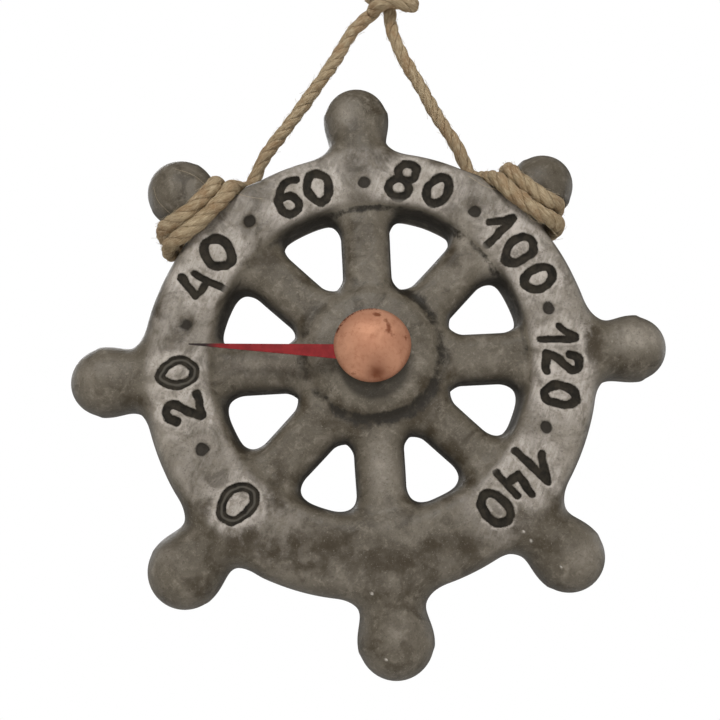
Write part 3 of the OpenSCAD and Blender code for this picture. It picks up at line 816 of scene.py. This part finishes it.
# Each window's middle in degrees, its outer radius, and how far it lies right of and above its place
WINDOWS = [(22.5, 51.4, 0.9, 0.7), (67.5, 54.4, 0.1, 0), (112.5, 53.1, -0.1, 0.6),
           (157.5, 53.0, 0.1, 0), (202.5, 52.0, 0.4, 1.1), (247.5, 51.3, 0.8, 0.4),
           (292.5, 50.6, 0.7, 1.7), (337.5, 50.9, -0.2, 0.8)]
WINDOW_SPREAD, WINDOW_ROUND, WINDOW_TIP_ROUND = 0.6, 8.4, 4.0
# How far the rim reaches at some angles, since a hand-made one is not quite round
RIM_REACH = {0: 74.6, 20: 74.4, 40: 75.0, 52: 75.9, 58: 75.7, 62: 74.9, 75: 74.7, 105: 74.3, 118: 74.7,
             122: 75.7, 128: 75.9, 150: 75.9, 170: 76.5, 205: 76.6, 240: 78.2, 260: 76.8, 280: 75.5,
             305: 75.1, 330: 74.5, 350: 74.4}
# Radii between which the rim thins outwards, and how round its front edge is at each
RIM_THINS, RIM_THICKNESSES = (72, 84), (RIM_HALF_T, 9.6)
RIM_ROUNDS, RIM_ROUNDNESSES = (72, 82), (5.5, 9.0)
RIM_BACK_ROUND, WEB_ROUND, WEB_BACK_ROUND = 4.0, 6.2, 3.5
PAD_ROUND, PAD_FALL, BOSS_ROUND = 3.4, 1.3, 2.0
# How softly the clay runs from an arm into the rim, wrapped or bare, from the boss, and from a knob's ball
WRAPPED_FILL, ARM_FILL, BOSS_FILL, BALL_FILL = 6.0, 8.5, 2.5, 4.5
# Unevenness all over: how much, its waves' length, and from where and over how far it grows round the hub
SWAY, SWAY_WAVE, CALM_R, CALM_FADE = 0.28, 34, 13, 8
# How far the twine's skin lies in the clay and how softly the clay gives way, looked at in a box round
# places so far apart; and a ball's room for running into the rim
PRESS_IN, PRESS_SOFT, PRESS_REACH, PRESS_STEP, BALL_ROOM = 0.1, 0.6, 6, 0.8, 17
# How softly each spoke runs into the rim, and how dark the painted shadow line between them is
STEP_FILL = [3.0, 2.4, 2.2, 3.2, 3.0, 4.0, 5.0, 4.0]
STEP_SHADOW = [0.5, 0.6, 0.75, 0.35, 0.3, 0.35, 0.1, 0.35]


def around(phi, degrees, values):
    """Values given at some angles, followed smoothly round the wheel."""
    return np.interp(np.degrees(phi) % 360, list(degrees), list(values), period=360)


def slab(outline, z, half_t, front_round, back_round):
    """A flat outline given a thickness, with its edges rounded at the front and at the back."""
    return np.maximum(rounded(outline, z - half_t, front_round), rounded(outline, -z - half_t, back_round))


def web_outline(x, y):
    """The spokes' distance, cut by the windows, and each window's reach from the wheel's middle."""
    web = np.hypot(x, y) - RIM_MID
    reach = []
    for degrees, outer_r, right, up in WINDOWS:
        a = math.radians(degrees)
        along, across = turned(x - right, y - up, a)
        out = np.hypot(along, np.abs(across))
        beside = SPOKE_HALF_W - (along * math.sin(HALF_STEP) - np.abs(across) * math.cos(HALF_STEP))
        window = rounded(beside, out - outer_r - WINDOW_SPREAD, WINDOW_ROUND)
        window = rounded(window, WEB_R - out, WINDOW_TIP_ROUND)
        web = np.maximum(web, -window)
        reach.append(outer_r + right * math.cos(a) + up * math.sin(a))
    return web, reach


def rim_outline(x, y, phi, r):
    """The rim's outer edge with the roots of the knobs."""
    disc = r - around(phi, RIM_REACH, RIM_REACH.values())
    for degrees, lean, reach, _, neck in KNOBS:
        out, across = turned(x, y, math.radians(degrees + lean))
        arm = np.maximum(np.abs(across) - neck, np.maximum(out - reach, ARM_INNER - out))
        disc = smin(disc, arm, WRAPPED_FILL if degrees in WRAPPED else ARM_FILL)
    return disc


def near(axis, place, reach):
    """The part of a grid's axis that lies near a place."""
    return slice(*np.searchsorted(axis, (place - reach, place + reach)))


def add_knobs(total, xs, ys, z):
    for degrees, lean, reach, ball, _ in KNOBS:
        a = math.radians(degrees + lean)
        place = reach * math.cos(a), reach * math.sin(a)
        box = tuple(near(axis, at, ball + BALL_ROOM) for axis, at in zip((xs, ys), place))
        out, across = turned(*np.meshgrid(xs[box[0]], ys[box[1]], indexing="ij"), a)
        squeezed = z / (KNOB_HALF_T / ball)
        knob = np.sqrt((out - reach)[..., None] ** 2 + (across[..., None] ** 2 + squeezed ** 2)) - ball
        total[box] = smin(total[box], knob, BALL_FILL)


def press_twine(total, xs, ys, zs):
    """Makes the clay slimmer under the twine."""
    for plan in (LEFT, RIGHT):
        wound = from_knob(wrap_path(plan["turns"], plan["trim"]), plan["angle"], plan["side"])
        for place in resampled(wound, PRESS_STEP):
            box = tuple(near(axis, at, PRESS_REACH) for axis, at in zip((xs, ys, zs), place))
            x, y, z = np.meshgrid(*[axis[part] for axis, part in zip((xs, ys, zs), box)], indexing="ij")
            away = np.sqrt((x - place[0]) ** 2 + (y - place[1]) ** 2 + (z - place[2]) ** 2)
            total[box] = smax(total[box], TWINE_R * WRAP_FULLER - PRESS_IN - away, PRESS_SOFT)


def hollowed(total, z, across, deep, steep, soft):
    """The clay with a hollow in its face, whose edge and floor lie where across and deep are 1."""
    hollow = np.hypot(across[..., None], deep) - 1
    return np.where((z > FACE_FROM_Z) & (hollow < 1.2), smax(total, -hollow * steep, soft), total)


def wheel_distance(xs, ys, zs):
    """The clay's signed distance, roughly, on a grid of millimetre positions."""
    x, y = np.meshgrid(xs, ys, indexing="ij")
    z = zs[None, None, :]
    r, phi = np.hypot(x, y), np.arctan2(y, x)
    web, reach = web_outline(x, y)
    fill = around(phi, EIGHTHS, STEP_FILL)
    inner_r = around(phi, [w[0] for w in WINDOWS], reach) + fill / 8 - 0.3
    outline = np.maximum(rim_outline(x, y, phi, r), inner_r - r)[..., None]
    half_t = np.interp(r, RIM_THINS, RIM_THICKNESSES)[..., None]
    front_round = np.interp(r, RIM_ROUNDS, RIM_ROUNDNESSES)[..., None]
    rim = slab(outline, z, half_t, front_round, np.minimum(front_round, RIM_BACK_ROUND))
    spokes = slab(web[..., None], z, SPOKE_HALF_T, WEB_ROUND, WEB_BACK_ROUND)
    total = smin(rim, spokes, fill[..., None])
    # Hub's pad, and the boss at its back
    hub = np.hypot(x, y - HUB_LIFT)[..., None]
    pad = rounded(hub - PAD_R, z - PAD_Z + PAD_FALL * ramp(hub, 10, 21), PAD_ROUND)
    total = smin(total, np.maximum(pad, -z), PAD_ROUND)
    boss = rounded(hub - BACK_BOSS_R, -z - RIM_HALF_T, BOSS_ROUND)
    total = smin(total, np.maximum(boss, z), BOSS_FILL)
    add_knobs(total, xs, ys, z)
    # The hand's unevenness, all over but at the hub
    uneven = SWAY * sway(x[..., None], y[..., None], z, SWAY_WAVE, 11)
    total += uneven * np.clip((hub - CALM_R) / CALM_FADE, 0, 1)
    press_twine(total, xs, ys, zs)
    # Bore, and pocket for the nut
    total = np.maximum(total, STUD_HOLE_R - hub)
    total = np.maximum(total, -rounded(hub - POCKET_R, z - POCKET_Z, POCKET_ROUND))
    # Grooves of the figures, and the dots between them
    outside, ridged = stroke_distance(x, y, 4.0)
    across = np.maximum(1 + outside / STROKE_EDGE, 0)
    depth = STROKE_DEPTH * (1 - RIDGE_SHARE * np.exp(-(ridged / RIDGE_W) ** 2))
    under = RIM_HALF_T - z
    total = hollowed(total, z, across, under / depth[..., None], *STROKE_CUT)
    total = hollowed(total, z, dot_distance(x, y, DOTS) / DOT_R, under / DOT_DEPTH, *DOT_CUT)
    total = hollowed(total, z, dot_distance(x, y, [FAINT_DOT]) / FAINT_R, under / FAINT_DEPTH, *FAINT_CUT)
    return total.astype(np.float32)


def box_blur(grid, reach):
    """The mean over a cube that reaches so many cells each way, by running sums along each axis."""
    width = 2 * reach + 1
    for axis in range(3):
        pad = [(0, 0)] * 3
        pad[axis] = (reach + 1, reach)
        sums = np.cumsum(np.pad(grid, pad, mode="edge"), axis=axis, dtype=np.float64)
        low = np.arange(grid.shape[axis])
        grid = ((sums.take(low + width, axis) - sums.take(low, axis)) / width).astype(np.float32)
    return grid


CELL = 0.55
GRID_HALF, GRID_HALF_T = 104.0, 14.0
GRID_LOW = np.array([-GRID_HALF, -GRID_HALF, -GRID_HALF_T])


def sampled(grid, points):
    """A grid's values at points in millimetres, linear between its cells."""
    p = np.clip((points - GRID_LOW) / CELL, 0, np.array(grid.shape) - 1.001)
    cell = p.astype(int)
    part = p - cell
    total = 0
    for corner in itertools.product((0, 1), repeat=3):
        weight = np.where(corner, part, 1 - part).prod(axis=1)
        total = total + weight * grid[tuple((cell + corner).T)]
    return total


xs = np.arange(-GRID_HALF, GRID_HALF + 0.01, CELL)
zs = np.arange(-GRID_HALF_T, GRID_HALF_T + 0.01, CELL)
field = wheel_distance(xs, xs, zs)
band = 3 * CELL
vdb = openvdb.FloatGrid(band)
vdb.copyFromArray(np.clip(field, -band, band))
cells, _, quads = vdb.convertToPolygons(isovalue=0.0, adaptivity=0.0)
wheel = new_piece("clay_wheel", hung(cells * CELL + GRID_LOW), quads, CLAY, "wheel")


def flat_of(points):
    """Points of the part's frame, in metres, back in the flat wheel's frame, in millimetres."""
    x, y, z = (points / MM + HOOK).T
    return np.stack([*turned(x, z, HANG_TILT), -y], -1)


# Where the oxide was left thick and brown, with painted shade among it by the knobs' necks and under the
# hub's pad, and where it was wiped away, with painted highlights on the knobs among it: the photograph's
# column and row, spread across and up in millimetres, and how much
STAINS_AND_SHADE = [(372, 417, 14, 4, 0.9), (430, 388, 6, 6, 0.8), (447, 373, 6, 3, 0.8), (424, 346, 3, 7, 0.5),
          (331, 420, 6, 4, 0.8), (300, 374, 7, 3, 0.7), (262, 369, 10, 2, 0.5), (628, 364, 10, 4, 0.5),
          (359, 230, 5, 9, 0.6), (265, 257, 6, 5, 0.75), (455, 254, 5, 5, 0.95), (280, 470, 6, 7, 0.7),
          (449, 455, 4, 6, 0.8), (250, 222, 5, 5, 0.6), (268, 206, 7, 3, 0.5), (360, 158, 7, 6, 0.65),
          (440, 163, 9, 3, 0.6), (472, 203, 5, 5, 0.5), (182, 326, 5, 5, 0.75), (592, 340, 4, 10, 0.9),
          (134, 398, 7, 3.5, 0.8), (243, 537, 8, 6, 0.85), (290, 549, 13, 6, 0.95), (340, 548, 11, 6, 0.85),
          (392, 560, 16, 6, 0.95), (452, 545, 12, 6, 0.95), (517, 527, 7, 6, 0.9), (548, 478, 3.5, 9, 0.65),
          (395, 600, 9, 4, 0.6), (376, 108, 4, 7, 0.5), (352, 142, 7, 3, 0.5), (178, 556, 9, 5, 0.4),
          (410, 500, 4, 4, 0.6), (205, 545, 5, 5, 0.6), (545, 545, 6, 5, 0.6), (382, 655, 6, 8, 0.6),
          (408, 668, 7, 3, 0.6), (200, 592, 6, 4, 0.6), (600, 585, 4, 5, 0.5), (562, 590, 6, 3, 0.6),
          (337, 408, 3, 4, 0.8), (417, 412, 5, 5, 0.8), (434, 427, 4, 4, 0.7), (462, 462, 4, 5, 0.8),
          (470, 478, 4, 4, 0.6), (455, 500, 5, 4, 0.6), (303, 320, 3, 4, 0.7), (300, 400, 4, 4, 0.6),
          (277, 500, 6, 5, 0.8), (204, 508, 4, 6, 0.6), (302, 566, 10, 3, 0.9), (562, 470, 4, 8, 0.5),
          (556, 507, 5, 8, 0.6), (245, 570, 8, 4, 0.7), (183, 516, 4, 6, 0.6), (396, 645, 6, 8, 0.5),
          (172, 592, 6, 5, 0.5), (158, 305, 3.5, 9, 0.5), (252, 182, 6, 4, 0.5), (388, 155, 4, 6, 0.5)]
# Worn places, among them painted highlights on the knobs' balls
WORN_AND_HIGHLIGHT = [(640, 336, 8, 5, 0.8), (344, 113, 3.5, 5, 0.5), (335, 198, 6, 5, 0.5), (180, 300, 4, 8, 0.2),
        (205, 262, 8, 8, 0.3), (560, 330, 6, 12, 0.3), (567, 446, 4, 9, 0.45), (384, 470, 5, 11, 0.5),
        (585, 556, 5, 4, 0.4), (166, 556, 4, 4, 0.4), (405, 630, 4, 5, 0.25), (498, 190, 6, 4, 0.3),
        (110, 368, 8, 4, 0.3), (163, 445, 5, 10, 0.6), (318, 325, 6, 6, 0.25),
        (300, 188, 10, 6, 0.45), (418, 182, 10, 6, 0.55), (463, 228, 6, 5, 0.6), (493, 262, 4, 8, 0.6),
        (160, 385, 5, 8, 0.6), (245, 368, 7, 3, 0.4), (86, 375, 3, 5, 0.3)]
# Small near-white flecks, in the photograph's pixels
PALE_FLECKS = [(523, 532), (532, 541), (562, 567), (372, 593), (386, 660)]
# How well the rim's face was wiped, at some angles round the wheel
WIPED = {0: 1.0, 90: 0.95, 180: 1.0, 232: 0.9, 248: 0.25, 270: 0.1, 292: 0.15, 308: 0.6, 320: 0.95}
# How dark the ring round the hub's pad is, oxide with the pad's painted shadow, at each eighth of a turn
COLLAR_DARK = [0.65, 0.8, 0.4, 0.3, 0.6, 0.7, 1.0, 1.0]


def clay_attributes(piece):
    """What the clay's material asks of each point, such as how far from a groove or deep in a recess."""
    p = flat_of(vectors_of(piece, "co"))
    x, y, z = p.T
    r, phi = np.hypot(x, y), np.arctan2(y, x)
    facing = -vectors_of(piece, "normal")[:, 1]
    stroke, ridged = stroke_distance(x, y, 14.0)
    front = ramp(z, 6.5, 8.5)
    solid = (field < 0).astype(np.float32)
    wide, narrow = [sampled(box_blur(solid, round(reach / CELL)), p) for reach in (4.4, 1.7)]
    inner = around(phi, [w[0] for w in WINDOWS], [w[1] for w in WINDOWS])
    # The rim's face; the pale wiped face fades out before the outer edge, partly as painted shade there
    face = ramp(r, inner + 0.6, inner + 3.0) * (1 - ramp(r, 72.0, 75.5)) * front
    # A painted shadow line under the rim's inner edge, darkest at the top, fading along each spoke
    step = (0.35 * ramp(r, inner - 8, inner - 2) + 0.65 * ramp(r, inner - 2.2, inner - 0.6)) * (z > 0)
    step = step * (1 - ramp(r, inner + 0.3, inner + 1.3)) * around(phi, EIGHTHS, STEP_SHADOW)
    # Dark oxide round the hub's pad, with the pad's painted shadow below it, least at the upper left
    hub = np.hypot(x, y - HUB_LIFT)
    collar = ramp(hub, PAD_R - 1.6, PAD_R + 1.2) * (1 - ramp(hub, PAD_R + 1.5, PAD_R + 7.5)) * (z > 0)
    collar = collar * around(np.arctan2(y - HUB_LIFT, x), EIGHTHS, COLLAR_DARK)
    # Oxide and painted shade in the recesses, where much clay lies round a point, less on the rim's face
    deep = ramp(wide, 0.5, 0.66) * (1 - 0.8 * face) * (0.3 + 0.7 * ramp(z, -7, -3))
    pits = np.minimum(dot_distance(x, y, DOTS) - 2.1, 0.1 + 0.3 * (dot_distance(x, y, [FAINT_DOT]) - 2.3))
    under_cap = 1 - ramp(np.hypot(x - 0.3, y - HUB_LIFT + 5.4), 10.2, 12.2)
    values = dict(
        stroke=np.clip(stroke, -2, 12),
        ridge=np.clip(ridged, 0, 4),
        pit=np.where(front > 0.5, np.clip(pits, -2, 4), 4),
        face=face,
        wiped=face * around(phi, WIPED.keys(), WIPED.values()),
        shade=0.6 * under_cap * (z > 0),
        cavity=np.maximum(np.maximum(deep, step), collar),
        # Rubbed edges that face the front, paler from wear and a painted highlight
        edge=(1 - ramp(narrow, 0.36, 0.47)) * ramp(facing, 0.3, 0.7),
        # Painted shade, with some oxide, on faces turned from the front, less further out, none at the back
        wall_oxide_and_shade=(1 - ramp(facing, 0.15, 0.85)) * (1 - 0.35 * ramp(r, 60, 72)) * ramp(z, -10, -3),
        pale_fleck=(1 - ramp(dot_distance(x, y, PALE_FLECKS), 0.1, 0.55)) * (z > FACE_FROM_Z))
    for name, patches in (("stain", STAINS_AND_SHADE), ("worn_and_highlight", WORN_AND_HIGHLIGHT)):
        values[name] = 0
        for column, row, wide_x, high_y, much in patches:
            cx, cy = on_dial(column, row)
            patch = much * np.exp(-((x - cx) / wide_x) ** 2 - ((y - cy) / high_y) ** 2)
            values[name] = np.maximum(values[name], patch)
    for name, value in values.items():
        write_attribute(piece, name, value)


clay_attributes(wheel)
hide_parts("ceramic_wheel")


# Copper cap

# The cap is a little wider than high
CAP_WIDER = 1.015
CAP_RINGS, CAP_SIDES, CAP_DENTS = 40, 128, 22
# Painted dark reflections on it, and brown tarnish spots: across and up from its middle, spread across
# and up, and how much
DARK_REFLECTION = [(0.9, -9.8, 3.0, 2.2, 0.75), (1.2, -6.4, 4.4, 4.4, 0.42), (-7.5, 6.0, 4.0, 4.0, 0.12)]
TARNISH = [(0.6, -10.6, 1.4, 1.0, 0.7), (2.1, 9.4, 1.5, 0.9, 1.1), (4.6, 7.2, 0.9, 0.9, 0.8),
           (5.6, 5.3, 1.0, 1.9, 0.75), (4.6, 3.6, 1.2, 0.8, 0.6), (6.6, 2.2, 2.0, 0.9, 0.5),
           (10.8, 1.2, 0.7, 1.3, 0.8), (3.4, -3.6, 1.3, 0.9, 0.4), (-6.6, -9.2, 1.0, 0.8, 0.5)]


def dome():
    """A thin spherical cap, a little dented and not quite round: points and faces."""
    sphere_r = (CAP_R ** 2 + CAP_H ** 2) / (2 * CAP_H)
    centre = CAP_Z + CAP_H - sphere_r
    half = math.asin(CAP_R / sphere_r)
    rng = np.random.default_rng(8)
    dents = [rng.uniform((0, 0.1, 1.8, -0.1), (ABOUT_TURN, 0.9, 3.4, 0.04)) for _ in range(CAP_DENTS)]
    points = []

    def ring(thin, tilt):
        a = 2 * math.pi * np.arange(CAP_SIDES) / CAP_SIDES
        radius = sphere_r - thin
        px, py = radius * math.sin(tilt) * np.cos(a), radius * math.sin(tilt) * np.sin(a)
        lift = 0
        for way, out, width, high in dents:
            cx, cy = CAP_R * out * math.cos(way), CAP_R * out * math.sin(way)
            lift = lift + high * np.exp(-((px - cx) ** 2 + (py - cy) ** 2) / width ** 2)
        lift = lift * (1 - (tilt / half) ** 6)
        edge = 1 + 0.006 * np.sin(3 * a + 1) * (tilt / half) ** 4
        height = centre + radius * math.cos(tilt) + lift
        points.extend(np.stack([px * edge * CAP_WIDER, HUB_LIFT + py * edge / CAP_WIDER, height], -1))

    tilts = [half * (i / CAP_RINGS) ** 0.9 for i in range(1, CAP_RINGS + 1)]
    rim_tilt = half + 0.012
    skin = [(0, tilt) for tilt in tilts] + [(CAP_T * 0.25, rim_tilt), (CAP_T * 0.75, rim_tilt)]
    for thin, tilt in skin + [(CAP_T, tilt) for tilt in tilts[::-1]]:
        ring(thin, tilt)
    sides = [(k, (k + 1) % CAP_SIDES) for k in range(CAP_SIDES)]
    last = len(points) - CAP_SIDES
    faces = [(row + k, row + CAP_SIDES + k, row + CAP_SIDES + k1, row + k1)
             for row in range(0, last, CAP_SIDES) for k, k1 in sides]
    top = len(points)
    points += [(0, HUB_LIFT, centre + sphere_r), (0, HUB_LIFT, centre + sphere_r - CAP_T)]
    faces += [(top, k, k1) for k, k1 in sides]
    faces += [(top + 1, last + k1, last + k) for k, k1 in sides]
    return points, faces


cap_points, cap_faces = dome()
cap = new_piece("copper_dome", hung(cap_points), cap_faces, COPPER, "wheel")
cap_x, cap_y = np.array(cap_points)[:, 0], np.array(cap_points)[:, 1] - HUB_LIFT
cap_out = np.hypot(cap_x, cap_y)
for name, patches in (("tarnish", TARNISH), ("shade", DARK_REFLECTION)):
    amount = sum(m * np.exp(-((cap_x - a) / w) ** 2 - ((cap_y - b) / h) ** 2) for a, b, w, h, m in patches)
    # A painted dark reflection round its edge
    if name == "shade":
        amount += 0.35 * ramp(cap_out, CAP_R - 1.3, CAP_R)
    write_attribute(cap, name, amount)
# Nicks along the edge, most of them at the upper left
nicked = np.abs(np.degrees(np.arctan2(cap_y, cap_x)) - 118) < 42
write_attribute(cap, "nick", ramp(cap_out, CAP_R - 1.1, CAP_R - 0.3) * (0.15 + 0.85 * nicked))
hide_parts("copper_cap")

# Metal and fibre parts keep their CAD shapes, with edges softened by so many millimetres
for name, material, width in (("centre_stud", STUD_BRASS, 0.15), ("rear_washer", BRASS, 0.12),
                              ("fixing_nut", BRASS, 0.3), ("cap_socket", BRASS, 0.15),
                              ("pointer_bush", BRASS, 0.1), ("bimetal_coil", STEEL, 0.05),
                              ("front_fibre_washer", FIBRE, 0.1), ("rear_fibre_washer", FIBRE, 0.1),
                              ("pointer_blade", RED, 0.1)):
    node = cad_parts[name]
    node.data.materials.clear()
    node.data.materials.append(material)
    soft = node.modifiers.new("soft_edges", "BEVEL")
    soft.width = width * MM
    soft.segments = 2
    soft.limit_method = "ANGLE"
    soft.angle_limit = math.radians(40)

# Floor, background and light

FLOOR_Z, FLOOR_HALF = -0.4, 4.0


def floor_material():
    """Pale where the object's shadow falls, and plain white further off, as the photograph's ground is."""
    s = Shader("floor")
    away = s.distance_to((0, 0, FLOOR_Z))
    pale = s.mix(s.noise(s.own(), 6.0, 3.0), (236, 235, 232), (243, 242, 240))
    s.put(s.bsdf, dict(Base_Color=pale, Roughness=s.between(away, 0, 2, 0.85, 0.9)))
    white = s.node("ShaderNodeEmission", dict(Color=WHITE, Strength=1.0)).outputs[0]
    seen = s.node("ShaderNodeLightPath").outputs["Is Camera Ray"]
    amount = s.times(seen, s.between(away, 0.3, 0.62, 0.5, 1.0))
    both = s.node("ShaderNodeMixShader", {0: amount, 1: s.bsdf.outputs[0], 2: white}).outputs[0]
    s.put(s.tree.nodes["Material Output"], dict(Surface=both))
    return s.material


corners = [(x * FLOOR_HALF, y * FLOOR_HALF, FLOOR_Z) for x, y in ((-1, -1), (1, -1), (1, 1), (-1, 1))]
floor = new_piece("floor", corners, [(0, 1, 2, 3)], floor_material(), smooth=False)

world = bpy.data.worlds.new("world")
world.use_nodes = True
scene.world = world
sky = Nodes(world.node_tree)
rays = sky.node("ShaderNodeLightPath").outputs
seen = sky.higher(rays["Is Camera Ray"], rays["Is Transmission Ray"])
strength = sky.between(seen, 0, 1, 0.14, 1.0, "LINEAR")
sky.put(sky.tree.nodes["Background"], dict(Color=WHITE, Strength=strength))

# Each lamp's place, width and power
LIT = (0, 0, -0.17)
LAMPS = dict(key=((-0.15, -0.75, 0.42), 0.3, 5.2), front=((0.1, -1.1, -0.1), 0.6, 2.0),
             fill=((0.9, -0.6, 0.1), 0.7, 1.2), back=((-0.5, 1.0, 0.5), 0.8, 8.0),
             left=((-0.9, 0.5, 0.0), 0.6, 2.0), right=((0.9, 0.5, 0.0), 0.6, 2.0))
for name, (place, size, power) in LAMPS.items():
    data = bpy.data.lights.new(name, "AREA")
    data.shape = "DISK"
    data.size = size
    data.energy = power
    lamp = bpy.data.objects.new(name, data)
    scene.collection.objects.link(lamp)
    aim(lamp, place, LIT)
